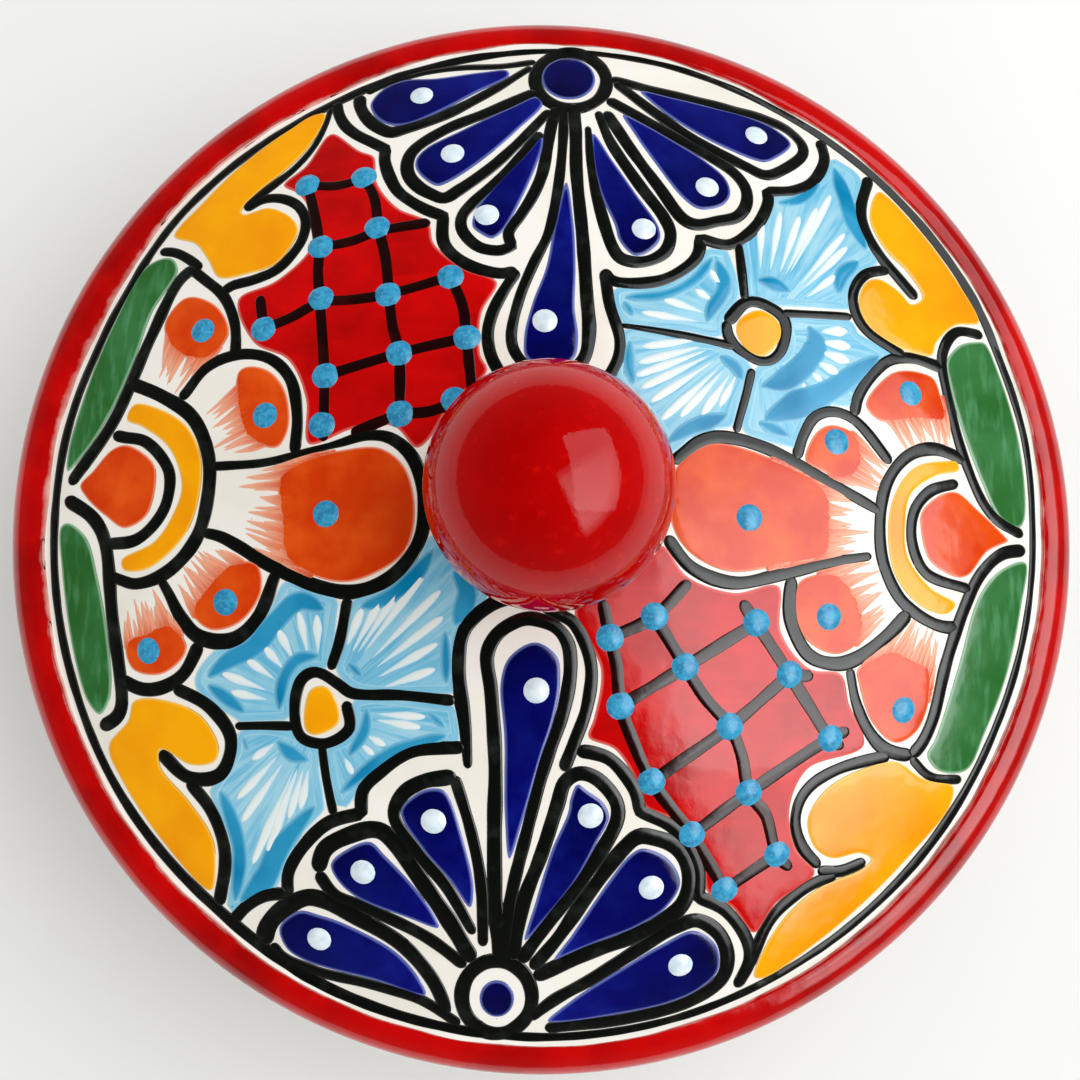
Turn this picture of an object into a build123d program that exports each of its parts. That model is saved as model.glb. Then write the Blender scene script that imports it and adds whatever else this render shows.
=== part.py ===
from build123d import *
from math import asin, degrees, sqrt
import os

# Round covered dish for keeping tortillas warm, in glazed ceramic: a bowl on a foot ring, and a domed lid
# with a rolled edge and a ball knob. Millimetres, +Z up, origin at the centre of the foot ring's underside.

# Bowl
mouth_diameter = 213.0
rim_width = 7.5
rim_edge_round = 1.5
bowl_height = 56.0
bowl_wall = 7.0
belly_height = 44.0
belly_inset = 1.0
foot_diameter = 152.0
foot_width = 8.0
foot_height = 4.0
foot_edge_round = 1.2

# Lid
lid_overhang = 8.5
lid_wall = 6.5
dome_rise = 26.5
bead_under_round = 3.2
bead_top_round = 7.0
crease_run = 2.1
crease_depth = 0.5
crease_round = 1.5
flange_clearance = 2.0
flange_width = 6.5
flange_depth = 7.0
flange_edge_round = 1.5

# Knob, on a neck that is stuck to the lid with slip
knob_diameter = 48.0
knob_wall = 12.0
knob_clearance = 2.3
neck_diameter = 24.0
neck_round = 2.0
vent_diameter = 6.0
slip_height = 3.0
slip_reach = 3.0

# Drops of raised enamel
white_drop_diameter = 6.0
white_drop_height = 1.0
lattice_drop_diameter = 6.2
lattice_drop_height = 0.9
petal_drop_diameter = 6.4
petal_drop_height = 0.8

# The drops' places, seen from above. They were laid out on a painted field of this radius, and spread with it.
layout_radius = 113.4
white_drop_places = [
    (-28.7, 100.0),
    (-21.0, 82.8),
    (-13.0, 66.3),
    (-0.3, 40.6),
    (21.7, 63.2),
    (36.6, 74.9),
    (49.4, 90.6),
    (-2.1, -38.3),
    (-23.6, -65.5),
    (-38.8, -76.5),
    (-48.8, -91.5),
    (9.3, -64.3),
    (22.4, -79.7),
    (29.2, -97.0),
]
lattice_drop_places = [
    (-54.2, 76.4),
    (-41.2, 77.4),
    (-37.4, 64.0),
    (-50.0, 59.9),
    (-49.3, 47.2),
    (-34.4, 47.4),
    (-20.8, 51.2),
    (-62.1, 40.8),
    (-17.1, 36.9),
    (-31.6, 33.6),
    (-47.6, 29.1),
    (-48.0, 18.1),
    (-31.1, 20.1),
    (-19.5, 22.8),
    (13.2, -27.4),
    (22.5, -23.0),
    (44.3, -24.1),
    (29.0, -33.4),
    (15.4, -41.5),
    (51.6, -34.9),
    (38.6, -45.8),
    (60.9, -48.4),
    (22.1, -57.2),
    (43.0, -59.7),
    (30.8, -68.5),
    (49.6, -73.1),
    (38.3, -80.5),
]
petal_drop_places = [
    (-76.3, 41.5),
    (-60.7, 20.8),
    (-46.6, -1.2),
    (-68.5, -19.5),
    (-86.4, -29.6),
    (81.5, 27.7),
    (63.1, 15.4),
    (43.0, -1.9),
    (60.4, -22.6),
    (77.9, -42.4),
]

# Radii and heights that follow from the sizes above
mouth_radius = mouth_diameter / 2
rim_radius = mouth_radius + rim_width
belly_radius = rim_radius - belly_inset
turn_radius = belly_height - foot_height
turn_centre = belly_radius - turn_radius
foot_radius = foot_diameter / 2

lid_radius = rim_radius + lid_overhang
widest_height = bowl_height + bead_under_round
crest_radius = lid_radius - bead_top_round
crest_height = widest_height + bead_top_round
crease_radius = crest_radius - crease_run
crease_height = crest_height - crease_depth
dome_radius = (crease_radius**2 + dome_rise**2) / (2 * dome_rise)
dome_centre = crease_height + dome_rise - dome_radius
hollow_radius = dome_radius - lid_wall
flange_radius = mouth_radius - flange_clearance
flange_bore = flange_radius - flange_width

knob_radius = knob_diameter / 2
knob_centre = crease_height + dome_rise + knob_clearance + knob_radius
neck_radius = neck_diameter / 2
vent_radius = vent_diameter / 2


def bowl_underside(radius):
    """Height of the bowl's outer surface above the table, between its flat bottom and its belly."""
    past_turn = max(radius - turn_centre, 0)
    return belly_height - sqrt(turn_radius**2 - past_turn**2)


def dome_height(radius, sphere_radius):
    """Height at this distance from the axis of a sphere about the dome's centre."""
    return dome_centre + sqrt(sphere_radius**2 - radius**2)


def dome_angle(radius, sphere_radius):
    """Angle from the horizontal of that sphere's radius through the same point."""
    return 90 - degrees(asin(radius / sphere_radius))


def subtract_dome():
    """Cut the dome's sphere out of the piece in hand, so that it sits on the dome all over."""
    with Locations((0, 0, dome_centre)):
        Sphere(dome_radius, mode=Mode.SUBTRACT)


def enamel_drops(places, diameter, height):
    """Low caps of raised enamel, each square to the dome at its place."""
    cap_radius = ((diameter / 2) ** 2 + height**2) / (2 * height)
    centre_share = (dome_radius + height - cap_radius) / dome_radius
    spread = crease_radius / layout_radius
    with BuildPart() as drops:
        for place_x, place_y in places:
            x = place_x * spread
            y = place_y * spread
            rise = sqrt(dome_radius**2 - x**2 - y**2)
            with Locations((x * centre_share, y * centre_share, dome_centre + rise * centre_share)):
                Sphere(cap_radius)
        subtract_dome()
    return drops.part


# Bowl: flat floor, round lower wall, near upright upper wall, flat rim and a foot ring
with BuildPart() as base_bowl:
    with BuildSketch(Plane.XZ):
        with BuildLine():
            outer_turn = CenterArc((turn_centre, belly_height), turn_radius, -90, 90)
            Line(outer_turn @ 1, (rim_radius, bowl_height))
            Line((rim_radius, bowl_height), (mouth_radius, bowl_height))
            inner_turn = CenterArc((turn_centre, belly_height), turn_radius - bowl_wall, 0, -90)
            Line((mouth_radius, bowl_height), inner_turn @ 0)
            Line(inner_turn @ 1, (0, foot_height + bowl_wall))
            Line((0, foot_height + bowl_wall), (0, foot_height))
            Line((0, foot_height), outer_turn @ 0)
        make_face()
    revolve(axis=Axis.Z)
    rim_edges = base_bowl.edges().group_by(Axis.Z)[-1]
    fillet(rim_edges, rim_edge_round)
    with BuildSketch():
        Circle(foot_radius)
        Circle(foot_radius - foot_width, mode=Mode.SUBTRACT)
    extrude(amount=bowl_underside(foot_radius) + bowl_wall / 2)
    foot_edges = base_bowl.edges().group_by(Axis.Z)[0]
    fillet(foot_edges, foot_edge_round)
base_bowl.part.label = "base_bowl"

# Lid: a dome in a rolled bead, over a flat land that sits on the bowl's rim and a flange that drops inside it
with BuildPart() as lid_dome:
    with BuildSketch(Plane.XZ):
        with BuildLine():
            bead_under = CenterArc((lid_radius - bead_under_round, widest_height), bead_under_round, -90, 90)
            bead_top = CenterArc((crest_radius, widest_height), bead_top_round, 0, 90)
            bead_inner = TangentArc(bead_top @ 1, (crease_radius, crease_height), tangent=(-1, 0))
            dome_start = dome_angle(crease_radius, dome_radius)
            dome_end = dome_angle(vent_radius, dome_radius)
            dome_outer = CenterArc((0, dome_centre), dome_radius, dome_start, dome_end - dome_start)
            hollow_start = dome_angle(flange_bore, hollow_radius)
            hollow_end = dome_angle(vent_radius, hollow_radius)
            dome_inner = CenterArc((0, dome_centre), hollow_radius, hollow_start, hollow_end - hollow_start)
            Line(dome_outer @ 1, dome_inner @ 1)
            Polyline(
                dome_inner @ 0,
                (flange_bore, bowl_height - flange_depth),
                (flange_radius, bowl_height - flange_depth),
                (flange_radius, bowl_height),
                bead_under @ 0,
            )
        make_face()
    revolve(axis=Axis.Z)
    flange_edges = lid_dome.edges().group_by(Axis.Z)[0]
    fillet(flange_edges, flange_edge_round)
    crease_edge = lid_dome.edges().filter_by(GeomType.CIRCLE).sort_by_distance((0, crease_radius, crease_height))[0]
    fillet(crease_edge, crease_round)
lid_dome.part.label = "lid_dome"

# Knob: a hollow ball on a short neck, with a vent down through the neck so that it fires without bursting
with BuildPart() as ball_knob:
    neck_foot = dome_height(neck_radius, dome_radius)
    with Locations((0, 0, neck_foot)):
        Cylinder(neck_radius, knob_centre - neck_foot, align=(Align.CENTER, Align.CENTER, Align.MIN))
    with Locations((0, 0, knob_centre)):
        Sphere(knob_radius)
    neck_top = knob_centre - sqrt(knob_radius**2 - neck_radius**2)
    neck_edge = ball_knob.edges().filter_by(GeomType.CIRCLE).sort_by_distance((0, neck_radius, neck_top))[0]
    fillet(neck_edge, neck_round)
    with Locations((0, 0, knob_centre)):
        Sphere(knob_radius - knob_wall, mode=Mode.SUBTRACT)
    with Locations((0, 0, neck_foot)):
        Cylinder(
            vent_radius,
            knob_centre - neck_foot,
            align=(Align.CENTER, Align.CENTER, Align.MIN),
            mode=Mode.SUBTRACT,
        )
    subtract_dome()
ball_knob.part.label = "ball_knob"

# Slip: a hollow-sided collar that closes the corner between the neck and the dome
with BuildPart() as knob_slip_fillet:
    slip_foot = dome_height(neck_radius + slip_reach, dome_radius)
    slip_top = neck_foot + slip_height
    with BuildSketch(Plane.XZ):
        with BuildLine():
            side = TangentArc(
                (neck_radius, slip_top),
                (neck_radius + slip_reach, slip_foot),
                tangent=(0, -1),
            )
            Polyline(side @ 1, (neck_radius, slip_foot), side @ 0)
        make_face()
    revolve(axis=Axis.Z)
    subtract_dome()
knob_slip_fillet.part.label = "knob_slip_fillet"

white_enamel_drops = enamel_drops(white_drop_places, white_drop_diameter, white_drop_height)
white_enamel_drops.label = "white_enamel_drops"

turquoise_lattice_drops = enamel_drops(lattice_drop_places, lattice_drop_diameter, lattice_drop_height)
turquoise_lattice_drops.label = "turquoise_lattice_drops"

turquoise_petal_drops = enamel_drops(petal_drop_places, petal_drop_diameter, petal_drop_height)
turquoise_petal_drops.label = "turquoise_petal_drops"

os.makedirs("parts", exist_ok=True)
export_step(base_bowl.part, "parts/base_bowl.step")
export_step(lid_dome.part, "parts/lid_dome.step")
export_step(ball_knob.part, "parts/ball_knob.step")
export_step(knob_slip_fillet.part, "parts/knob_slip_fillet.step")
export_step(white_enamel_drops, "parts/white_enamel_drops.step")
export_step(turquoise_lattice_drops, "parts/turquoise_lattice_drops.step")
export_step(turquoise_petal_drops, "parts/turquoise_petal_drops.step")
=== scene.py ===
import random
from math import ceil, cos, degrees, hypot, pi, radians, sin, sqrt

import bpy
import numpy as np
from mathutils import Matrix, Vector, noise
from mathutils.bvhtree import BVHTree
from mathutils.geometry import delaunay_2d_cdt


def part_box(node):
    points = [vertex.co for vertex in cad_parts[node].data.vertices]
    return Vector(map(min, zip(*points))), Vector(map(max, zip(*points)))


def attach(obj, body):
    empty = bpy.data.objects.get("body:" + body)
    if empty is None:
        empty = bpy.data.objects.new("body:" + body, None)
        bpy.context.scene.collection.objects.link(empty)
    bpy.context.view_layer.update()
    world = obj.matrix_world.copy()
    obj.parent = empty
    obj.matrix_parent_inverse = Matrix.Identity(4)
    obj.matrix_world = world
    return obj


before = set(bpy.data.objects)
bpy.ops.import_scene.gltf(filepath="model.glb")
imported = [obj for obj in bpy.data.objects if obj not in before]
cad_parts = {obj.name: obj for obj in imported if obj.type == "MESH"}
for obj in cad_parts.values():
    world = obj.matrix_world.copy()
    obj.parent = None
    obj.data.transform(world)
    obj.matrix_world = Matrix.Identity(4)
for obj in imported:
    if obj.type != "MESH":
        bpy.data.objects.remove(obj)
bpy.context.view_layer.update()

# The painted finish of a covered dish. The patterns are given in millimetres, seen from above, +Y up the
# photographed picture; meshes are made in metres.

MM = 0.001

# The photograph's camera
camera_place = Vector((-5.46, -41.2, 371.3)) * MM
camera_target = Vector((-0.91, -3.185, 59.2)) * MM
camera_lens = 45.0

# The lid and the bowl, from the frame and the sizes that they were turned to
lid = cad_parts["lid_dome"]
lid_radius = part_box("lid_dome")[1][0] / MM
lid_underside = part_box("base_bowl")[1][2] / MM
bead_under_round = 3.2
bead_top_round = 7.0
bead_centre = lid_underside + bead_under_round
crest_radius = lid_radius - bead_top_round
lid_overhang = 8.5
rim_radius = lid_radius - lid_overhang
bowl_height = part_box("base_bowl")[1][2] / MM
belly_height = 44.0
belly_inset = 1.0
belly_radius = rim_radius - belly_inset
turn_radius = 40.0
# Inside this radius the lid's face is part of a sphere
dome_limit = 111.0


# The surfaces that are painted


def axis_distance(place):
    """How far a point is from the dish's axis."""
    return hypot(place[0], place[1])


def dome_sphere():
    """The radius of the dome's sphere and the height of its centre, from the lid's own points."""
    facing_up = 0.7
    tops = [v.co / MM for v in lid.data.vertices if v.normal.z > facing_up]
    tops = [top for top in tops if axis_distance(top) < dome_limit]
    near = min(tops, key=axis_distance)
    far = max(tops, key=axis_distance)
    centre = (far.length_squared - near.length_squared) / (2 * (far.z - near.z))
    return hypot(axis_distance(near), near.z - centre), centre


dome_radius, dome_centre = dome_sphere()
lid_places = [v.co / MM for v in lid.data.vertices]
lid_tree = BVHTree.FromPolygons(lid_places, [face.vertices for face in lid.data.polygons])


def on_lid(x, y, lift):
    """A point this far above the lid's face, in metres, at a place seen from above."""
    if hypot(x, y) < dome_limit:
        out = Vector((x, y, sqrt(dome_radius**2 - x * x - y * y)))
        return (Vector((0, 0, dome_centre)) + out * (1 + lift / dome_radius)) * MM
    hit = lid_tree.ray_cast(Vector((x, y, 2 * lid_radius)), Vector((0, 0, -1)))[0]
    return (hit + Vector((0, 0, lift))) * MM


def on_bowl(along, down, lift):
    """A point this far off the bowl's wall, in metres: along the rim, then down the wall from the rim."""
    straight = bowl_height - belly_height
    if down < straight:
        radius = rim_radius + (belly_radius - rim_radius) * down / straight
        height = bowl_height - down
        lean = 0.0
    else:
        lean = (down - straight) / turn_radius
        radius = belly_radius - turn_radius + turn_radius * cos(lean)
        height = belly_height - turn_radius * sin(lean)
    angle = along / rim_radius
    radius += lift * cos(lean)
    height -= lift * sin(lean)
    return Vector((radius * cos(angle), radius * sin(angle), height)) * MM


# Smooth curves through listed points

# Places nearer than the first are one place, and points of a curve stay at least the second apart
touching = 1e-6
least_gap = 0.05
# Stands in for nought where it would be divided by
tiny = 1e-9


def span_point(before, start, end, after, share):
    """A point of the centripetal Catmull-Rom span from start to end."""
    knots = [0.0]
    for a, b in ((before, start), (start, end), (end, after)):
        knots.append(knots[-1] + max((b - a).length, touching) ** 0.5)
    t = knots[1] + (knots[2] - knots[1]) * share
    row = [before, start, end, after]
    for level in (1, 2, 3):
        row_next = []
        for i in range(len(row) - 1):
            low = i if level < 3 else 1
            high = i + level if level < 3 else 2
            mix = (t - knots[low]) / (knots[high] - knots[low])
            row_next.append(row[i] + (row[i + 1] - row[i]) * mix)
        row = row_next
    return row[0]


def corner_runs(places, closed):
    """The stretches between corners, which are places given twice, and whether they make one loop."""
    runs = [[places[0]]]
    for last, place in zip(places, places[1:]):
        if (place - last).length < touching:
            runs.append([place])
        else:
            runs[-1].append(place)
    if not closed:
        return runs, False
    starts_at_corner = (places[0] - places[-1]).length < touching
    if starts_at_corner:
        return runs, False
    if len(runs) == 1:
        return runs, True
    runs[0] = runs.pop() + runs[0]
    return runs, False


def smooth(points, closed=False, step=0.9):
    """Close-set points along a smooth curve through these places."""
    runs, loop = corner_runs([Vector(point) for point in points], closed)
    made = []
    for run in runs:
        count = len(run) if loop else len(run) - 1
        for i in range(count):
            start = run[i]
            end = run[(i + 1) % len(run)]
            before = run[i - 1] if i or loop else start * 2 - end
            after = run[(i + 2) % len(run)] if i + 2 < len(run) or loop else end * 2 - start
            pieces = max(ceil((end - start).length / step), 1)
            for piece in range(pieces):
                made.append(span_point(before, start, end, after, piece / pieces))
        if not closed:
            made.append(run[-1])
    kept = made[:1]
    for point in made[1:]:
        if (point - kept[-1]).length > least_gap:
            kept.append(point)
    return kept


def distance_to(points, edge):
    """How far each point is from the nearest place on a closed outline."""
    start = edge[None]
    along = np.roll(edge, -1, axis=0)[None] - start
    out = points[:, None] - start
    share = (out * along).sum(2) / np.maximum((along * along).sum(2), tiny)
    out = out - along * np.clip(share, 0, 1)[..., None]
    return np.sqrt((out * out).sum(2).min(1))


def inside(points, edge):
    """Which of the points lie within a closed outline."""
    x, y = points[:, :1], points[:, 1:]
    end = np.roll(edge, -1, axis=0)
    crosses = (edge[:, 1] > y) != (end[:, 1] > y)
    rise = np.where(edge[:, 1] == end[:, 1], tiny, end[:, 1] - edge[:, 1])
    at = edge[:, 0] + (end[:, 0] - edge[:, 0]) * (y - edge[:, 1]) / rise
    return (crosses & (x < at)).sum(1) % 2 == 1


def turned(points, angle, centre):
    """The same points, drawn about a centre and turned by this angle in degrees."""
    c, s = cos(radians(angle)), sin(radians(angle))
    made = []
    for x, y in points:
        made.append((centre[0] + (x * c - y * s), centre[1] + x * s + y * c))
    return made


def ellipse(centre, across, up, count=10):
    """The places round an upright ellipse."""
    made = []
    for step in range(count):
        angle = 2 * pi * step / count
        made.append((centre[0] + across * cos(angle), centre[1] + up * sin(angle)))
    return made


# Glaze that stands a little proud of the clay

# Every edge dips just under the surface, and a pool rises to its full height over its shoulder
sunk = -0.1
shoulder = 0.8
shoulder_steps = (0.12, 0.4, 1.0)
# A pool's inner points: the distance between them, the rows' height and the room left at the shoulder
grid_step = 2.4
row_share = 0.87
grid_margin = 0.35
# A shoulder's row is kept where it is at least this share of its own distance from the edge
row_clearance = 0.93
# A line's cross-section, from side to side, and the places of its points near an end
across_line = (-1.0, -0.93, -0.7, 0.0, 0.7, 0.93, 1.0)
nib_shares = (0.03, 0.12, 0.3, 0.6)
line_step = 0.8
curve_step = 0.7
look_ahead = 0.5
# The shortest round of a line's end, for its points and for its width, and the end's least share of width
least_nib = 0.2
sharpest_nib = 0.05
least_end = 0.06
# The share by which a line's width wavers, how quickly, and the half width at which it stands full height
waver = 0.14
waver_pace = 0.16
full_half_width = 0.8


class Paint:
    """One colour of glaze on one surface: a mesh that grows with each pool and each line."""

    def __init__(self, surface, height):
        self.surface = surface
        self.height = height
        self.points = []
        self.faces = []
        self.inset = []
        self.fade = []
        self.flow = []

    def add_point(self, x, y, lift, inset, fade, flow):
        self.points.append(self.surface(x, y, lift))
        self.inset.append(inset)
        self.fade.append(fade)
        self.flow.append(flow)

    def pool(self, outline, hub=None, fade=None):
        """A flat pool with rounded edges. fade gives a share for each place; streaks run from the hub."""
        edge = np.array([tuple(p) for p in smooth(outline, closed=True)])
        end = np.roll(edge, -1, axis=0)
        if (edge[:, 0] * end[:, 1] - end[:, 0] * edge[:, 1]).sum() < 0:
            edge = edge[::-1]
        ahead = np.roll(edge, -1, axis=0) - np.roll(edge, 1, axis=0)
        inward = np.stack([-ahead[:, 1], ahead[:, 0]], 1) / np.linalg.norm(ahead, axis=1)[:, None]
        extra = []
        for share in shoulder_steps:
            offset = share * shoulder
            ring = edge + inward * offset
            extra.append(ring[inside(ring, edge) & (distance_to(ring, edge) > row_clearance * offset)])
        low, high = edge.min(0), edge.max(0)
        rows = np.arange(low[1], high[1], grid_step * row_share)
        lattice = []
        for i, y in enumerate(rows):
            for x in np.arange(low[0] + (i % 2) * grid_step / 2, high[0], grid_step):
                lattice.append((x, y))
        if lattice:
            lattice = np.array(lattice)
            lattice = lattice[inside(lattice, edge)]
            if len(lattice):
                extra.append(lattice[distance_to(lattice, edge) > shoulder + grid_margin * grid_step])
        flat = [Vector(p) for p in np.concatenate([edge, *extra]).tolist()]
        border = [(i, (i + 1) % len(edge)) for i in range(len(edge))]
        flat, _, faces, *_ = delaunay_2d_cdt(flat, border, [], 1, 1e-5)
        place = np.array([tuple(p) for p in flat])
        depth = distance_to(place, edge)
        first = len(self.points)
        for (x, y), d in zip(place.tolist(), depth.tolist()):
            rise = 1 - min(d / shoulder, 1.0)
            lift = sunk + (self.height - sunk) * sqrt(1 - rise * rise)
            flow = (0.0, 0.0, 0.0)
            if hub:
                reach = hypot(x - hub[0], y - hub[1])
                flow = ((x - hub[0]) / (reach + 0.1), (y - hub[1]) / (reach + 0.1), reach / 100)
            self.add_point(x, y, lift, d, fade(x, y) if fade else 0.0, flow)
        self.faces += [[first + i for i in face] for face in faces]

    def line(self, points, width, closed=False, fades=(0.0, 0.0), tips=(0.6, 0.6), height=None):
        """A brushed line. width is one value or several spread along it; tips are its ends' rounds."""
        height = height or self.height
        widths = width if isinstance(width, tuple) else (width, width)
        centre = smooth(points, closed, curve_step)
        if closed:
            centre.append(centre[0])
        path = np.array([tuple(p) for p in centre])
        travelled = np.concatenate([[0], np.cumsum(np.linalg.norm(np.diff(path, axis=0), axis=1))])
        total = travelled[-1]
        stations = list(np.linspace(0, total, max(int(total / line_step), 4)))
        if not closed:
            nib = min(max(widths[0] * tips[0], least_nib), total / 3)
            stations += [nib * share for share in nib_shares]
            nib = min(max(widths[-1] * tips[1], least_nib), total / 3)
            stations += [total - nib * share for share in nib_shares]
        stations = np.unique(np.array(stations))

        def at_station(distance):
            return [float(np.interp(distance, travelled, path[:, axis])) for axis in (0, 1)]

        first = len(self.points)
        for at in stations.tolist():
            x, y = at_station(at)
            ahead, behind = min(at + look_ahead, total), max(at - look_ahead, 0)
            if closed:
                ahead, behind = (at + look_ahead) % total, (at - look_ahead) % total
            dx, dy = [front - rear for front, rear in zip(at_station(ahead), at_station(behind))]
            size = hypot(dx, dy) or 1.0
            half = float(np.interp(at / total, np.linspace(0, 1, len(widths)), widths)) / 2
            half *= 1 + waver * noise.noise(Vector((x * waver_pace, y * waver_pace, 3.0)))
            if not closed:
                for away, tip, full in ((at, tips[0], widths[0]), (total - at, tips[1], widths[-1])):
                    nib = max(tip * full, sharpest_nib)
                    if away < nib:
                        half *= max(sqrt(1 - (1 - away / nib) ** 2), least_end)
            fade = fades[0] + (fades[1] - fades[0]) * at / total
            for side in across_line:
                rise = sqrt(1 - side**4)
                lift = sunk + (height * min(half / full_half_width, 1.0) - sunk) * rise
                px, py = x - dy / size * side * half, y + dx / size * side * half
                self.add_point(px, py, lift, (1 - abs(side)) * half, fade, (at / 100, side, 0.0))
        row = len(across_line)
        for i in range(len(stations) - 1):
            for k in range(row - 1):
                a = first + i * row + k
                self.faces.append([a, a + row, a + row + 1, a + 1])

    def make(self, name, material, body):
        """The finished piece, which moves with a body and takes the given material."""
        mesh = bpy.data.meshes.new(name)
        mesh.from_pydata([tuple(p) for p in self.points], [], self.faces)
        for label, values in (("inset", self.inset), ("fade", self.fade)):
            mesh.attributes.new(label, "FLOAT", "POINT").data.foreach_set("value", values)
        flat = [number for flow in self.flow for number in flow]
        mesh.attributes.new("flow", "FLOAT_VECTOR", "POINT").data.foreach_set("vector", flat)
        mesh.polygons.foreach_set("use_smooth", [True] * len(mesh.polygons))
        mesh.update()
        piece = bpy.data.objects.new(name, mesh)
        bpy.context.scene.collection.objects.link(piece)
        up_side(mesh)
        mesh.materials.append(material)
        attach(piece, body)


def up_side(mesh):
    """Turns every face outward, away from the inside of the dish."""
    middle = Vector((0, 0, bowl_height * MM / 2))
    turned_over = []
    for face in mesh.polygons:
        turned_over.append(face.normal.dot(face.center - middle) < 0)
    for face, wrong in zip(mesh.polygons, turned_over):
        if wrong:
            face.flip()
    mesh.update()


# Node helpers


def colour(text):
    """Scene colour of an sRGB colour such as #c00000."""
    made = []
    for i in (1, 3, 5):
        value = int(text[i : i + 2], 16) / 255
        made.append(value / 12.92 if value < 0.04045 else ((value + 0.055) / 1.055) ** 2.4)
    return (*made, 1.0)


class Nodes:
    """A node tree, built node by node."""

    def __init__(self, tree):
        self.tree = tree

    def node(self, kind, inputs, **settings):
        """A new node. An input, by name or number, is linked to a socket or set to a value."""
        made = self.tree.nodes.new("ShaderNode" + kind)
        for name, value in settings.items():
            setattr(made, name, value)
        for name, value in inputs.items():
            if isinstance(value, bpy.types.NodeSocket):
                self.tree.links.new(value, made.inputs[name])
            else:
                made.inputs[name].default_value = value
        return made

    def span(self, value, low, high, to_low=0.0, to_high=1.0):
        """The value stretched from low and high to their new ends, and held between them."""
        inputs = {"Value": value, "From Min": low, "From Max": high, "To Min": to_low, "To Max": to_high}
        return self.node("MapRange", inputs).outputs["Result"]

    def maths(self, operation, a, b):
        """One sum of two sockets or numbers."""
        return self.node("Math", {0: a, 1: b}, operation=operation).outputs[0]


class Finish(Nodes):
    """A glazed material. Its colours are mixed from grain, and from what Paint stores at each point."""

    def __init__(self, name, roughness=0.09):
        self.material = bpy.data.materials.new(name)
        self.material.use_nodes = True
        super().__init__(self.material.node_tree)
        self.shader = self.tree.nodes["Principled BSDF"]
        self.shader.inputs["Roughness"].default_value = roughness

    def place(self):
        """Where the point is on the object, in metres."""
        return self.node("TexCoord", {}).outputs["Object"]

    def stretched(self, vector, scale):
        """The same places, scaled along each axis."""
        return self.node("Mapping", {"Vector": vector, "Scale": scale}).outputs["Vector"]

    def attribute(self, name, output="Fac"):
        """What Paint stored at the point: its inset from the paint's edge, its fade or its flow."""
        return self.node("Attribute", {}, attribute_name=name).outputs[output]

    def grain(self, scale, detail=2.0, vector=None, rough=0.5):
        """Cloudy noise between 0 and 1."""
        inputs = {"Vector": vector or self.place(), "Scale": scale, "Detail": detail, "Roughness": rough}
        return self.node("TexNoise", inputs).outputs["Fac"]

    def mix(self, share, first, second):
        """From the first colour to the second. Each is a socket, or a text such as #c00000."""
        first, second = [colour(shade) if isinstance(shade, str) else shade for shade in (first, second)]
        inputs = {"Fac": share, "Color1": first, "Color2": second}
        return self.node("MixRGB", inputs).outputs["Color"]

    def mottle(self, first, second, scale, low=0.4, high=0.65):
        """Two colours in soft clouds."""
        return self.mix(self.span(self.grain(scale, 3.0), low, high), first, second)

    def paint(self, value):
        """Makes this the glaze's colour."""
        self.tree.links.new(value, self.shader.inputs["Base Color"])

    def coat(self, body, fringe, width, start):
        """Paints the body colour, thinning to a fringe where it meets the bare glaze."""
        self.paint(self.mix(self.span(self.attribute("inset"), start, width), fringe, body))

    def waves(self, scale=130.0, depth=0.00012, fine=900.0, fine_depth=0.000012):
        """The slow swell and the fine orange peel of a hand-dipped glaze."""
        swell = self.node("Bump", {"Height": self.grain(scale, 1.0), "Distance": depth, "Strength": 1.0})
        peel = {"Height": self.grain(fine, 2.0), "Distance": fine_depth, "Normal": swell.outputs["Normal"]}
        self.tree.links.new(self.node("Bump", peel).outputs["Normal"], self.shader.inputs["Normal"])

    def pinholes(self, base, spot, scale, size):
        """Small dark or pale pits here and there."""
        cells = self.node("TexVoronoi", {"Vector": self.place(), "Scale": scale})
        near = self.span(cells.outputs["Distance"], size * 0.5, size, 1.0, 0.0)
        rare = self.span(self.grain(scale * 0.35, 1.0), 0.6, 0.64)
        return self.mix(self.maths("MULTIPLY", near, rare), base, spot)


# The finishes


def white_glaze(name):
    """Warm white tin glaze with faint clouding and a few specks."""
    f = Finish(name)
    base = f.mottle("#f6f1e8", "#ebe5d8", 45.0, 0.42, 0.72)
    f.paint(f.pinholes(base, "#8d7a63", 300.0, 0.06))
    f.waves()
    return f


def bowl_glaze():
    """The white glaze, over buff clay that shows bare under the foot."""
    f = white_glaze("bowl_glaze")
    glazed = f.shader.inputs["Base Color"].links[0].from_socket
    height = f.node("SeparateXYZ", {"Vector": f.place()}).outputs["Z"]
    ragged = f.maths("ADD", height, f.span(f.grain(260.0), 0.3, 0.7, -0.5 * MM, 0.5 * MM))
    clay = f.mottle("#b98a63", "#9c6c48", 420.0)
    bare_to, glazed_from = 1.2 * MM, 1.8 * MM
    clay_roughness, glaze_roughness = 0.8, 0.12
    f.paint(f.mix(f.span(ragged, bare_to, glazed_from), clay, glazed))
    rough = f.span(ragged, bare_to, glazed_from, clay_roughness, glaze_roughness)
    f.tree.links.new(rough, f.shader.inputs["Roughness"])
    return f.material


def black_paint(name, body, thin, fringe):
    """Dense black brush lines, a little thin in places."""
    f = Finish(name, 0.11)
    base = f.mottle(body, thin, 170.0, 0.55, 0.78)
    f.coat(base, fringe, 0.35, 0.05)
    f.waves(240.0, 0.00006)
    return f.material


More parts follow.
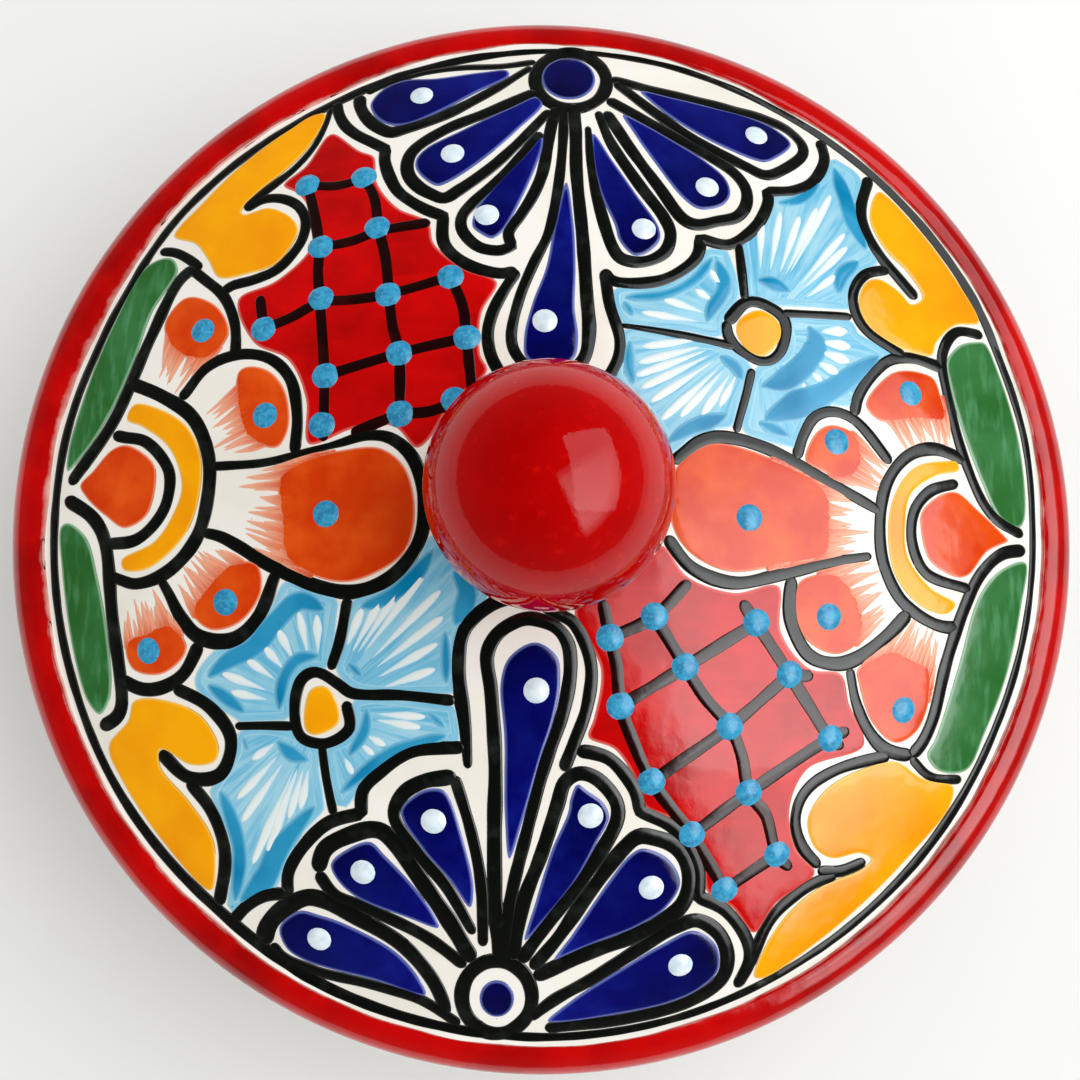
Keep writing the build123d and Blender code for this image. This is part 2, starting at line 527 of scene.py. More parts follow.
def cobalt_paint():
    """Cobalt that pools nearly black at a petal's tip and thins towards the hub."""
    f = Finish("cobalt_paint")
    deep = f.mottle("#000038", "#030358", 95.0, 0.35, 0.7)
    light = f.mottle("#04066c", "#0c1c86", 120.0)
    base = f.mix(f.attribute("fade"), deep, light)
    f.coat(base, "#6f7cc4", 0.75, 0.1)
    f.waves(200.0, 0.00008)
    return f.material


def red_field_paint():
    """Strong red, brushed in unequal coats, pink where it thins."""
    f = Finish("red_field_paint")
    base = f.mottle("#cf0202", "#a80000", 90.0, 0.35, 0.75)
    streaks = f.grain(60.0, 2.0, f.stretched(f.place(), (1.0, 6.0, 1.0)))
    base = f.mix(f.span(streaks, 0.55, 0.8, 0.0, 0.5), base, "#dc0a04")
    f.coat(base, "#e8776e", 0.8, 0.1)
    f.waves(170.0, 0.0001)
    return f.material


def red_bead_paint():
    """The rolled edge's red: deep and streaky, thinning to pink along its ragged inner edge."""
    f = Finish("red_bead_paint")
    base = f.mottle("#c20202", "#8c0202", 34.0, 0.42, 0.75)
    base = f.mix(f.span(f.grain(150.0, 3.0), 0.5, 0.8, 0.0, 0.45), base, "#d40c04")
    fade = f.attribute("fade")
    ragged = f.maths("ADD", fade, f.span(f.grain(200.0, 4.0), 0.3, 0.7, -0.2, 0.2))
    f.paint(f.mix(f.span(ragged, 0.45, 1.05), base, "#e9b3a6"))
    f.waves(120.0, 0.00018)
    return f.material


def green_paint():
    """Copper green, brushed lengthwise."""
    f = Finish("green_paint")
    base = f.mottle("#286428", "#3a7842", 60.0, 0.4, 0.7)
    streaks = f.grain(100.0, 3.0, f.stretched(f.place(), (5.0, 1.0, 1.0)))
    base = f.mix(f.span(streaks, 0.5, 0.75, 0.0, 0.6), base, "#5b9a6a")
    f.coat(base, "#9cc3a0", 0.8, 0.1)
    f.waves(170.0, 0.0001)
    return f.material


def yellow_paint():
    """Thick egg yellow, deeper where it pools."""
    f = Finish("yellow_paint")
    base = f.mottle("#ffac00", "#f49600", 55.0, 0.4, 0.72)
    base = f.mix(f.span(f.grain(35.0, 1.0), 0.55, 0.75, 0.0, 0.6), base, "#ee8404")
    f.coat(base, "#f8cf6a", 0.6, 0.08)
    f.waves(170.0, 0.0001)
    return f.material


def orange_paint():
    """Orange that ends towards the flower's heart in pale brush hairs."""
    f = Finish("orange_paint")
    base = f.mottle("#d63a02", "#e65610", 110.0, 0.38, 0.68)
    base = f.mix(f.span(f.grain(45.0, 2.0), 0.55, 0.75, 0.0, 0.8), base, "#cc3200")
    pale = f.span(f.attribute("fade"), 0.1, 1.0)
    base = f.mix(pale, base, "#f6c3a0")
    f.coat(base, "#f4a888", 0.6, 0.05)
    f.waves(190.0, 0.0001)
    return f.material


def sky_paint():
    """A watery wash of pale blue."""
    f = Finish("sky_paint")
    flow = f.attribute("flow", "Vector")
    hairs = f.grain(1.0, 3.0, f.stretched(flow, (12.0, 12.0, 3.0)), 0.7)
    wash = f.mottle("#a0d2e2", "#86c6de", 60.0)
    base = f.mix(f.span(hairs, 0.44, 0.62), wash, "#64b4d6")
    f.coat(base, "#cfe8ee", 0.6, 0.05)
    f.waves(190.0, 0.00008)
    return f.material


def deep_sky_paint():
    """Turquoise brush strokes, deeper where the brush was full."""
    f = Finish("deep_sky_paint")
    base = f.mottle("#2790ba", "#3399c4", 90.0, 0.38, 0.64)
    base = f.mix(f.span(f.grain(60.0, 2.0), 0.48, 0.66), base, "#007eac")
    f.coat(base, "#8ccae0", 1.1, 0.0)
    f.waves(190.0, 0.00008)
    return f.material


def ray_white_paint():
    """Bare white glaze left between blue hairs, thin where the ray begins."""
    f = Finish("ray_white_paint")
    base = f.mix(f.attribute("fade"), "#eef1ea", "#c4e2ec")
    f.coat(base, "#b4daea", 0.6, 0.02)
    f.waves(190.0, 0.00008)
    return f.material


def knob_glaze():
    """Deep glossy red with fine pits."""
    f = Finish("knob_glaze", 0.04)
    base = f.mottle("#b80202", "#9c0101", 40.0, 0.42, 0.72)
    base = f.mix(f.span(f.grain(500.0, 3.0), 0.6, 0.75, 0.0, 0.5), base, "#d01008")
    f.paint(f.pinholes(base, "#e8a79a", 420.0, 0.05))
    f.shader.inputs["Specular IOR Level"].default_value = 0.3
    f.waves(60.0, 0.0001, 1300.0, 0.000015)
    return f.material


def white_enamel():
    """Bluish white enamel drops."""
    f = Finish("white_enamel")
    f.paint(f.mottle("#e6f0f4", "#c3d7e4", 420.0, 0.4, 0.75))
    f.waves(300.0, 0.00005)
    return f.material


def turquoise_enamel():
    """Turquoise drops, thickly speckled."""
    f = Finish("turquoise_enamel", 0.22)
    base = f.mottle("#329cc6", "#2583b0", 600.0, 0.42, 0.6)
    f.paint(f.mix(f.span(f.grain(1500.0, 2.0), 0.5, 0.7, 0.0, 0.6), base, "#5cb4d4"))
    f.waves(500.0, 0.00005, 1600.0, 0.00003)
    return f.material


black = black_paint("black_paint", "#0b0d0a", "#232622", "#33362f")
lattice_black = black_paint("lattice_black", "#1c0404", "#3a0806", "#5a0c0a")
cobalt = cobalt_paint()
red_field = red_field_paint()
red_bead = red_bead_paint()
green = green_paint()
yellow = yellow_paint()
orange = orange_paint()
sky = sky_paint()
deep_sky = deep_sky_paint()
ray_white = ray_white_paint()
enamel = white_enamel()
turquoise = turquoise_enamel()
knob_red = knob_glaze()


def refinish(node, material):
    """Gives a CAD node its finish."""
    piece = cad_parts[node]
    piece.data.materials.clear()
    piece.data.materials.append(material)


refinish("lid_dome", white_glaze("lid_glaze").material)
refinish("base_bowl", bowl_glaze())
refinish("ball_knob", knob_red)
refinish("knob_slip_fillet", knob_red)
refinish("white_enamel_drops", enamel)
refinish("turquoise_lattice_drops", turquoise)
refinish("turquoise_petal_drops", turquoise)

# The lid's picture. Petals and leaves are outlines, and black lines are centre lines with their widths.

# The black ring: angle, radius and width
ring_places = [
    (0, 111.8, 1.9), (10, 112.6, 2), (20, 112.6, 2.2), (27, 113.4, 2.2), (45, 113.5, 2), (60, 113.3, 1.8),
    (75, 113.7, 1.5), (90, 113.3, 1.4), (100, 112.5, 2.4), (110, 111.8, 2.6), (118, 111, 2.6),
    (130, 111.3, 2.4), (142, 111.3, 2.4), (149, 110.2, 2.4), (158, 109.9, 2.4), (168, 110.8, 2.4),
    (180, 110.9, 2.3), (200, 111.4, 2.3), (212, 112, 2.3), (230, 111.8, 3), (245, 112.9, 2.8),
    (270, 113.2, 2), (285, 113, 1.8), (300, 112.4, 2), (320, 112, 2.6), (335, 111.5, 2.2), (350, 111.7, 2),
]

# The pool and the ring at each cobalt fan's hub, as centre, half width and half height
hub_pools = [((5.6, 104.8), 6.4, 6.6), ((-10.4, -104.3), 3.8, 4.3)]
hub_rings = [((6.2, 104.2), 8.4, 8.6), ((-10.4, -104), 7.6, 8.4)]
hub_ring_width = 3.4
scallop_width = 3.0

upper_hub = (6, 104)
upper_cobalt = [
    [(-8.3, 105.4), (-8.8, 107.3), (-14.6, 106.9), (-25.4, 105.4), (-33, 105.3), (-38, 103), (-40.8, 98.5),
        (-39.5, 94.6), (-35.8, 91.7), (-31.5, 91.6), (-24.2, 95), (-15.8, 100.4)],
    [(-1.9, 99), (-0.4, 96.9), (-6.2, 89.2), (-13.8, 81.2), (-21.2, 75.4), (-24.2, 74.2), (-26.9, 75.8),
        (-29.2, 78.8), (-29.4, 81.5), (-27.3, 84.6), (-19.6, 89.2), (-8.1, 95.8)],
    [(-0.6, 88.1), (-4.2, 83.1), (-11.9, 73.5), (-15.6, 67.7), (-16.2, 63.5), (-14.2, 61.5), (-11.9, 60.4),
        (-9.6, 61.9), (-5, 71.2), (-1.5, 80.8), (-0.4, 85.4)],
    [(4.7, 75), (1.9, 64.2), (0, 53.5), (-3.1, 44.6), (-4.8, 36.9), (-4.4, 32.3), (0, 29.5), (5.8, 31.9),
        (6.9, 36.5), (6.2, 44), (6.5, 52.3), (6.2, 64.2)],
    [(11, 88.5), (15.2, 81.2), (20.4, 72.2), (25.2, 63.8), (25.2, 60.5), (21.5, 56.8), (19.2, 56.6),
        (16.2, 60), (15.2, 64), (12.2, 71.9), (10.6, 81)],
    [(18, 94.2), (24, 91), (30, 87), (37, 82), (41.3, 77.5), (42, 73.5), (40, 70.4), (34.6, 69), (31, 71.5),
        (23, 84), (20, 89.6)],
    [(22.5, 101.6), (30, 100.2), (40, 98), (48, 96.2), (54.5, 93.2), (57.9, 89.2), (53.1, 84.2),
        (50.5, 83.1), (41.5, 86.2), (31.9, 91.9), (24.6, 98.5)],
]
upper_black = [
    ((3.4, 3.4, 3.2, 3, 2.6, 1.8), [(-43.5, 101.5), (-43.2, 98), (-41.5, 94.5), (-38.5, 91.3),
        (-35.4, 89.7), (-33, 90.2), (-23.5, 93.8), (-11.9, 101.2), (-3, 108.3)]),
    (1.9, [(-42, 102), (-36, 105), (-28, 107.4), (-20, 108.4), (-10, 108.6), (-2, 110)]),
    ((3.2, 3.2, 3.2, 2.4), [(-1.8, 100.6), (-11.9, 95), (-23.1, 89.6), (-30, 84.2), (-31.3, 80.8),
        (-30.8, 77.3), (-28.5, 74.2), (-25.8, 72.3), (-22.7, 71), (-19.2, 73.1), (-11.9, 79.2), (-5, 86.9),
        (1.2, 95)]),
    (2.9, [(-0.8, 88.5), (-9.2, 76.9), (-16.5, 69.2), (-18.5, 66.2), (-18.7, 63.5), (-17.3, 60.8),
        (-14.5, 58.3), (-10, 57.5), (-7.5, 58.5), (-7.5, 58.5), (-8.2, 61.8), (-5.6, 66.2), (-3, 71),
        (-0.9, 76.5), (0.2, 82), (1.2, 89), (2.6, 96)]),
    (2.5, [(4.2, 97), (4.2, 89.2), (3.1, 75.8), (0.8, 62.3), (-2.7, 54.2), (-5.8, 45.8), (-7.5, 36.9),
        (-6.5, 33.1), (-3, 29.5), (1, 28)]),
    (3.1, [(6.6, 97), (7, 89.6), (7, 77.7), (8.1, 60.8), (8.8, 46.5), (9.2, 38), (8.1, 32.3), (5, 29),
        (1, 28)]),
    (2.8, [(-6.2, 52.7), (-9.6, 46.9), (-11.5, 42.7), (-12.5, 38.5), (-12.3, 34.6), (-11.2, 31.2),
        (-8, 26)]),
    (2.8, [(12.7, 53), (13.8, 44.6), (15.8, 36.9), (15.6, 33.1), (14.2, 29.6), (12, 26)]),
    ((1.6, 2.8, 3, 3, 3, 2.2), [(9.8, 90.5), (10.8, 75.8), (12.7, 65.4), (15, 57.7), (16.5, 55.8), (20, 55),
        (23.5, 55.8), (26.5, 58.1), (27.7, 62.3), (26.5, 66.2), (21.2, 74.6), (14.8, 86.5), (12.2, 95)]),
    (3.1, [(14.5, 98.6), (22, 93.6), (30, 88.3), (38, 83.3), (43.6, 79), (45.8, 75), (45.4, 70.8),
        (43.1, 67.7), (38.5, 66.2), (33.8, 65), (30.8, 66.2), (25.4, 74.6), (20, 83.5), (14, 95)]),
    (2.9, [(15.5, 105), (25, 102.2), (35, 99.9), (45, 97.6), (52, 95.9), (57.5, 93.3), (60.6, 89.3),
        (60.4, 86.5), (55, 81.5), (50.8, 79.6), (46.2, 81.5), (34.6, 88.1), (25.4, 95.4), (16.5, 104)]),
]
upper_scallops = [
    [(-49, 100), (-48.3, 96.5), (-46.5, 92.7), (-43.5, 89.6), (-40, 87.3), (-36.5, 85), (-36.5, 85),
        (-36.5, 81.5), (-33.5, 73.8), (-30, 70.4), (-26.5, 68.1), (-22.8, 66.4), (-22.8, 66.4),
        (-22.3, 59.2), (-17.3, 54.2), (-10, 51.9), (-6.2, 52.5)],
    [(12.7, 53.1), (13.8, 50.8), (17.3, 49.8), (25.4, 50.8), (31.9, 55), (33.8, 57.7), (34.4, 61.5),
        (34.4, 61.5), (40.8, 60.4), (47.3, 65.4), (50.8, 72.3), (50.8, 75), (50.8, 75), (57.7, 76.2),
        (62.3, 79.2), (65.8, 85.8), (65.2, 91.5)],
]

lower_hub = (-10.4, -104)
lower_cobalt = [
    [(-57.7, -89.2), (-53.1, -85.4), (-48.5, -86.2), (-42.7, -88.1), (-32.3, -93.8), (-27.3, -99.6),
        (-25.8, -103.7), (-36.9, -100.6), (-52.3, -96.7), (-56.5, -93.8)],
    [(-45.8, -75), (-43.8, -72.7), (-37.3, -70), (-33.8, -73.1), (-28.1, -79.2), (-23.8, -85.4),
        (-22.7, -88.5), (-29.2, -86.5), (-40.8, -81.9), (-45, -77.7)],
    [(-30.6, -63.5), (-27.3, -59.8), (-24, -58.6), (-21.2, -59.2), (-17.3, -69.6), (-15.2, -80), (-16, -84),
        (-20.4, -78.1), (-25.8, -71.9)],
    [(-9.6, -36.9), (-8.1, -31.9), (-4.2, -28.8), (-1.5, -28.5), (2.3, -31.5), (2.9, -36.9), (1.5, -44.6),
        (-0.8, -51.5), (-4.6, -64.6), (-7.7, -73.5), (-8.7, -63.8), (-8.8, -48.1)],
    [(-4.4, -91.2), (-2.3, -83.1), (1.2, -71.5), (4.6, -63.5), (5, -60.8), (6.5, -57.7), (8.8, -59.2),
        (11.9, -61.5), (13.3, -64.6), (10.8, -70), (6.5, -78.1), (0, -86.5)],
    [(1.7, -95.8), (5.8, -89.6), (13.1, -78.5), (17.7, -72.7), (20.4, -71.3), (25.8, -73.5), (28.7, -78.8),
        (25.8, -84.2), (19.2, -88.5), (11.5, -91.5), (4.2, -94.6)],
    [(0.6, -109.6), (5.8, -104.6), (17.3, -96.9), (25, -92.3), (31.9, -89.4), (36.9, -92.7), (37.7, -98.5),
        (33.8, -102.7), (26.9, -105.8), (14.6, -108.3), (3.8, -109.8)],
]
lower_black = [
    ((4.2, 4.2, 4, 3.6, 3.4, 3.2), [(-61.5, -93.5), (-60.5, -89.5), (-57.7, -86), (-51.5, -82.5),
        (-47.7, -82.9), (-40, -86.7), (-30.8, -92.3), (-25, -99), (-22.3, -104.5), (-21.5, -108.5)]),
    (2.6, [(-59.6, -93), (-57.7, -95.6), (-50.4, -98.8), (-38.5, -101.4), (-27.3, -104.6), (-21.2, -108.5),
        (-18.5, -110.5)]),
    (3.8, [(-48.8, -76.8), (-46.9, -71.7), (-41, -68.5), (-36.5, -67.4), (-33.8, -68.3), (-25.4, -79.6),
        (-19.6, -88.5), (-15.5, -96)]),
    (2.9, [(-48.8, -76.8), (-45, -81.7), (-38.5, -84.3), (-25.4, -90.6), (-17, -97)]),
    ((3.4, 3, 3, 2.6), [(-18.8, -56), (-21, -56.4), (-25.6, -57.2), (-30, -59.8), (-32, -64.3),
        (-27.3, -71.9), (-21.2, -79.2), (-15.2, -89.8)]),
    (2.7, [(-19.2, -56), (-15.6, -68.1), (-13.6, -79.2), (-13.3, -92.5)]),
    ((3.4, 3.2, 3, 2.8), [(-9.6, -96), (-10.6, -83.1), (-10.8, -67.7), (-10.6, -53.8), (-11.5, -38.5),
        (-12.3, -30.8), (-10.4, -26.9), (-7.3, -24.6), (-3.8, -23.5), (1.5, -25), (4.2, -28.1), (5, -32.7),
        (3.8, -41.5), (-0.6, -54.6), (-3.8, -66.9), (-7.6, -83.1), (-9, -96)]),
    ((3.2, 3.2, 3.2, 2), [(-6, -18.6), (-11.9, -20.8), (-16.9, -25.4), (-18.3, -32.7), (-16.9, -46.2),
        (-16.3, -54.5)]),
    (2.9, [(-6, -18.6), (-2, -20), (1.9, -22.3), (5.8, -24.6), (9.2, -32.7), (8.5, -41.5), (5.8, -49.2),
        (3.5, -55)]),
    (3.2, [(-7, -95.5), (-4.8, -83.1), (-1, -72.7), (2.3, -62.3), (4, -57.2), (6.9, -55.5), (10.4, -56.5),
        (14.6, -61.2), (15, -65), (8.8, -76.2), (0.8, -86.9), (-5.5, -96)]),
    ((3, 3.8, 3.4), [(-3, -97.5), (2.5, -90.8), (8.5, -81.9), (16.5, -71.2), (19.6, -68.8), (23.1, -69.2),
        (27.5, -71), (30.4, -75.5), (30.6, -80), (28.5, -84.5), (19.2, -90.1), (8.8, -94), (-2.5, -99.5)]),
    ((2.8, 3.4, 3.4, 2.8), [(-3.5, -109), (2, -104.6), (10, -99.9), (20.8, -92.8), (28.5, -88.2),
        (32.7, -87.2), (37.5, -90.3), (39.6, -95.5), (38.6, -100.4), (31.5, -105.4), (19.2, -108.8),
        (0, -111.2)]),
]
lower_scallops = [
    [(-17, -50), (-28, -51), (-35, -55.4), (-38.5, -59), (-39, -64), (-39, -64), (-46.2, -66.2),
        (-51.9, -71.5), (-55.2, -77), (-55.5, -81.7), (-55.5, -81.7), (-60.5, -82.2), (-65, -84.8),
        (-68.5, -88.5)],
    [(6.2, -50.8), (9.6, -51.2), (13.5, -52.7), (18.5, -58.8), (19.8, -63.4), (19.8, -63.4), (27.7, -67.7),
        (32.3, -75.4), (32.7, -82), (32.7, -82), (38.5, -85), (43.8, -91.9), (44.6, -96.5), (41.9, -102.7)],
]

green_leaves = [
    [(-88.5, 61), (-93.1, 58.5), (-98.5, 47.3), (-104.2, 31.9), (-108.3, 16), (-108.1, 11.2),
        (-102.7, 16.2), (-96.9, 25.4), (-92.3, 36.9), (-89.2, 47.3), (-83.8, 57.1), (-85.4, 60.5)],
    [(-109.2, -1.5), (-107.3, -0.6), (-102.3, -4.2), (-99, -13.5), (-96.5, -25), (-95.4, -36.5),
        (-96.2, -40.8), (-98.5, -43.5), (-101.5, -40.8), (-105, -30.8), (-108.5, -11.5)],
    [(91.3, 36.2), (95.4, 40.8), (99.6, 42.1), (102.3, 42.1), (105.4, 35), (109.6, 17.7), (109.6, 0.4),
        (107.7, -1.5), (102.7, 0.4), (98.5, 8.1), (94.2, 19.6), (91.5, 31.2)],
    [(109.6, -9.2), (102.8, -11), (96.6, -17.4), (91.3, -32.9), (85.8, -48.8), (83.9, -52.3), (86.9, -55.8),
        (94.2, -55.8), (98.8, -47.3), (104.2, -34.6), (108.1, -19.2)],
]
yellow_pools = [
    [(-93.5, 21.9), (-93.1, 24.2), (-91.5, 25.6), (-84.6, 23.5), (-78.5, 19.2), (-74.8, 11.5), (-75.8, 0),
        (-79.2, -6.2), (-86.9, -11.9), (-92.7, -11.9), (-93.3, -9.6), (-85.4, -5.8), (-81.2, 0),
        (-79.4, 6.2), (-82.7, 14.6), (-89.6, 20)],
    [(92.7, 10.8), (92.3, 12.7), (88.8, 12.7), (81.5, 10.8), (76.2, 4.2), (74.4, -3.8), (75.8, -13.1),
        (81.5, -19.6), (88.5, -21.5), (90.8, -19.2), (84.6, -15.8), (79.2, -9.2), (78.8, -1.9), (80.4, 4.6),
        (86.9, 9.2)],
    [(-85.8, 66.5), (-79.6, 74.6), (-71.5, 83.5), (-60, 93.1), (-54.2, 96.9), (-51.7, 96.9), (-51.3, 94.6),
        (-55, 86.5), (-60, 80.8), (-66.2, 75.4), (-69.5, 71), (-68.8, 70.2), (-63.1, 71.3), (-57.7, 68.5),
        (-55.6, 65.4), (-55.8, 62.7), (-60, 56.5), (-66.2, 54.6), (-73.5, 54.2), (-76.5, 58.8),
        (-80, 63.5)],
    [(-90, -40.4), (-81.5, -40.4), (-73.8, -43.8), (-70, -50.4), (-71.2, -53.5), (-76.9, -54.2),
        (-81.9, -51.5), (-83.7, -51), (-83.8, -54.6), (-77.3, -61.9), (-72.3, -69.2), (-71.5, -73.5),
        (-72.7, -81.5), (-74.2, -81.5), (-83.8, -71.5), (-93.1, -58.5), (-96.5, -50.4), (-91.5, -44.6)],
    [(77.7, 77.7), (79.2, 78.8), (88.5, 69.2), (96.9, 56.9), (101.3, 48.8), (101.2, 46.9), (94.6, 45.4),
        (89.2, 40.4), (87.7, 37.3), (80, 38.1), (73.5, 41.5), (70.4, 47.7), (72.7, 53.8), (76.2, 55),
        (81.5, 51.9), (83.5, 49.6), (86.7, 51.5), (83.1, 58.1), (78.8, 62.3), (75.4, 70.4)],
    [(74.2, -53.5), (64, -56.8), (59, -60.5), (56.2, -66), (58.1, -71.9), (62.3, -74.4), (68.8, -73.5),
        (71.4, -74.9), (69.2, -76.9), (60, -80.4), (53.1, -85.8), (47.7, -93.8), (45.8, -100.4),
        (48.1, -100.8), (60, -93.1), (70, -85), (80, -75.4), (90.4, -63.5), (90.8, -59.2), (83.1, -57.3),
        (77.3, -53.8)],
    [(-50, -38.5), (-48.1, -37.3), (-45.8, -37.7), (-43.3, -42.7), (-43.8, -45.4), (-48.5, -47.7),
        (-50.6, -46.9), (-51.2, -44.2)],
    [(41.5, 38.5), (41.9, 41.9), (46.5, 44.8), (49.6, 43.8), (51.5, 41.5), (51.5, 38.5), (47.3, 33.8),
        (44.6, 34.2)],
]
orange_buds = [
    [(-104.6, 7.7), (-101.5, 10.8), (-96.9, 15.4), (-93.1, 16.2), (-86.5, 11.9), (-85.4, 8.5), (-87.3, 0),
        (-92.7, -2.7), (-97.3, 0), (-102.7, 4.6)],
    [(82.7, 0.8), (87.7, 5), (91.9, 5.8), (96.9, 2.3), (105, -4.4), (105, -4.6), (99.2, -7.3),
        (94.2, -12.7), (90.8, -13.3), (84.2, -9.6), (82.3, -2.3)],
]
left_heart = (-93, 6)
left_petals = [
    [(-86, 43.8), (-82.3, 49.6), (-79.2, 50.2), (-73.1, 46.9), (-70, 40.4), (-73.8, 35), (-76.5, 34.4),
        (-83.1, 37.3)],
    [(-65, 32.3), (-67.3, 31.2), (-67.3, 23.1), (-64.2, 15.8), (-57.7, 13.5), (-55.2, 17.7), (-56.2, 25.8),
        (-60, 30.8)],
    [(-56.9, 7.3), (-52.3, 10.4), (-43.8, 12.5), (-35, 12.7), (-29.6, 8.1), (-27.5, -1.9), (-29.6, -9.6),
        (-36.2, -14.2), (-42.7, -15.8), (-50.4, -13.8), (-55.4, -10), (-56.5, -1.9)],
    [(-67.3, -11.2), (-61.5, -11.5), (-60.4, -17.3), (-65, -23.8), (-71.9, -25.4), (-76.2, -21.5),
        (-73.1, -16.2)],
    [(-91.9, -27.7), (-90.4, -33.5), (-83.5, -34.8), (-78.1, -31.2), (-77.3, -28.5), (-81.2, -23.8),
        (-87, -25.5)],
]
right_heart = (93, -4)
right_petals = [
    [(26.9, 7.7), (33.5, 13.5), (37.7, 14), (48.1, 11.2), (60, 5), (61.3, -2), (60, -9.6), (50, -11.9),
        (38.5, -13.5), (30, -9.6), (26.2, -3.5)],
    [(55.8, 10.8), (58.5, 17.3), (62.3, 19.2), (67.7, 17.3), (69, 14), (68, 9), (64, 7), (60, 8.5)],
    [(70.4, 24.2), (75.8, 31.2), (79.2, 32.9), (83.8, 33.1), (87.7, 31.9), (89.2, 28.1), (90, 22.3),
        (83, 21.6), (73.5, 20.8)],
    [(53.8, -15.4), (52.5, -21.5), (55.4, -27.7), (62.3, -30.6), (68, -27), (67.5, -20), (62.3, -13.3),
        (56.9, -13.8)],
    [(66.9, -33.8), (74.6, -29.5), (80, -31.5), (84, -33), (84.6, -38.5), (81.5, -46.9), (76.2, -49.6),
        (70.4, -45), (67.3, -36.9)],
]
flower_black = [
    (2.5, [(-89, 62.9), (-85, 62), (-81.6, 60), (-78, 57)]),
    (3.2, [(-79.8, 57.6), (-83.3, 54.4), (-89.2, 40.8), (-96.9, 21.9), (-107.3, 8.1)]),
    (3.4, [(-108.3, 5), (-100.8, 0), (-97.7, -5), (-95.4, -21.5), (-93.1, -41.5), (-94.6, -44.2),
        (-98.5, -46.3)]),
    ((3.4, 3.4, 3.4, 3.4, 2.4), [(-94, 30.9), (-85.4, 26.9), (-77.7, 21.5), (-73.7, 13.8), (-72.9, 6.2),
        (-75.4, -5.4), (-82.3, -12.7), (-89.6, -15), (-93.5, -14), (-96.5, -12.8)]),
    (2.9, [(-96.8, 18.8), (-94, 18), (-88.8, 16.7), (-83.8, 11.9), (-82.2, 8.1), (-83.5, 0.8),
        (-89.6, -5.2), (-97.4, -6)]),
    (2.7, [(-80.5, 57.2), (-77, 54.2), (-72, 49.5), (-69, 43), (-68.3, 37), (-68.5, 34.5)]),
    (2.7, [(-80.8, 25.8), (-79.6, 26.9), (-74.6, 32.9), (-66.9, 35.2), (-60, 33.6), (-55.4, 28.8),
        (-53.5, 20.4), (-53.8, 12)]),
    ((2.2, 2.1, 1.6, 2.9, 3.2, 3.2, 3.2, 3.2, 3, 2.6), [(-73, 10), (-60, 10.4), (-50, 12.6), (-44, 14),
        (-38, 15.5), (-33.1, 14.8), (-28.2, 10.4), (-25.6, 1), (-26.8, -7.7), (-32.3, -14.6), (-40, -17.7),
        (-47.7, -16.7), (-60, -11.2), (-65.5, -7.8), (-70, -5.4), (-74.2, -4.3)]),
    ((2, 3.2, 3.6, 3.2, 3), [(-84, -13.8), (-81.8, -17.2), (-78.8, -22.5), (-74.5, -26.8), (-66.9, -27.6),
        (-61.2, -22.9), (-57.2, -13.2)]),
    (3.2, [(-93.5, -35.6), (-88, -37.9), (-83, -37.5), (-78.1, -34.6), (-74.3, -28)]),
    (2.7, [(102, 44), (94.9, 43.9), (90.6, 38.1), (90.9, 28.5), (94.8, 12), (100.4, 1.5), (109, -3.1)]),
    (3.2, [(109.5, -6.3), (103.1, -7.6), (97.4, -12.3), (93, -20), (88.4, -32), (85.2, -44.4),
        (82.6, -49.7), (80, -52.5)]),
    (3, [(94.8, 13.2), (86.5, 15.3), (80, 13.2), (74.5, 6.5), (72.6, -3.8), (73.5, -11.5), (77.7, -19),
        (86, -23.9), (91.8, -24.5)]),
    (2.7, [(92.3, 7.9), (85, 5.5), (81, 0.8), (80.3, -6.2), (83.5, -12.6), (94.8, -16)]),
    ((3, 3, 2.4), [(26.5, 9.5), (32.7, 14.3), (36.9, 15.4), (46.2, 13.6), (60, 6.9), (73, 0.4)]),
    ((3, 3, 3, 1.8), [(25, -6.2), (30.4, -12.7), (39.2, -15.8), (50, -13.8), (60, -11.2), (70.5, -9.3)]),
    (2.7, [(53.8, 11.2), (55.6, 16.5), (58.5, 20.9), (62.5, 22.2), (67.6, 20.6), (75.8, 11.3)]),
    (2.9, [(67.6, 21.5), (68.6, 25.6), (72, 30.8), (77, 35.2), (82.3, 36.2), (90.4, 34.6)]),
    (3.2, [(52.3, -14.2), (51.7, -19), (52.3, -24.8), (56, -30.9), (61.5, -32.6), (66, -31.8),
        (74.2, -26.2), (79.3, -21.3)]),
    ((2, 2.7, 3.2, 3.2), [(65.2, -33.5), (66.7, -40.5), (69.2, -46), (72.8, -50.2), (76.6, -51.8),
        (80.4, -52.3)]),
]
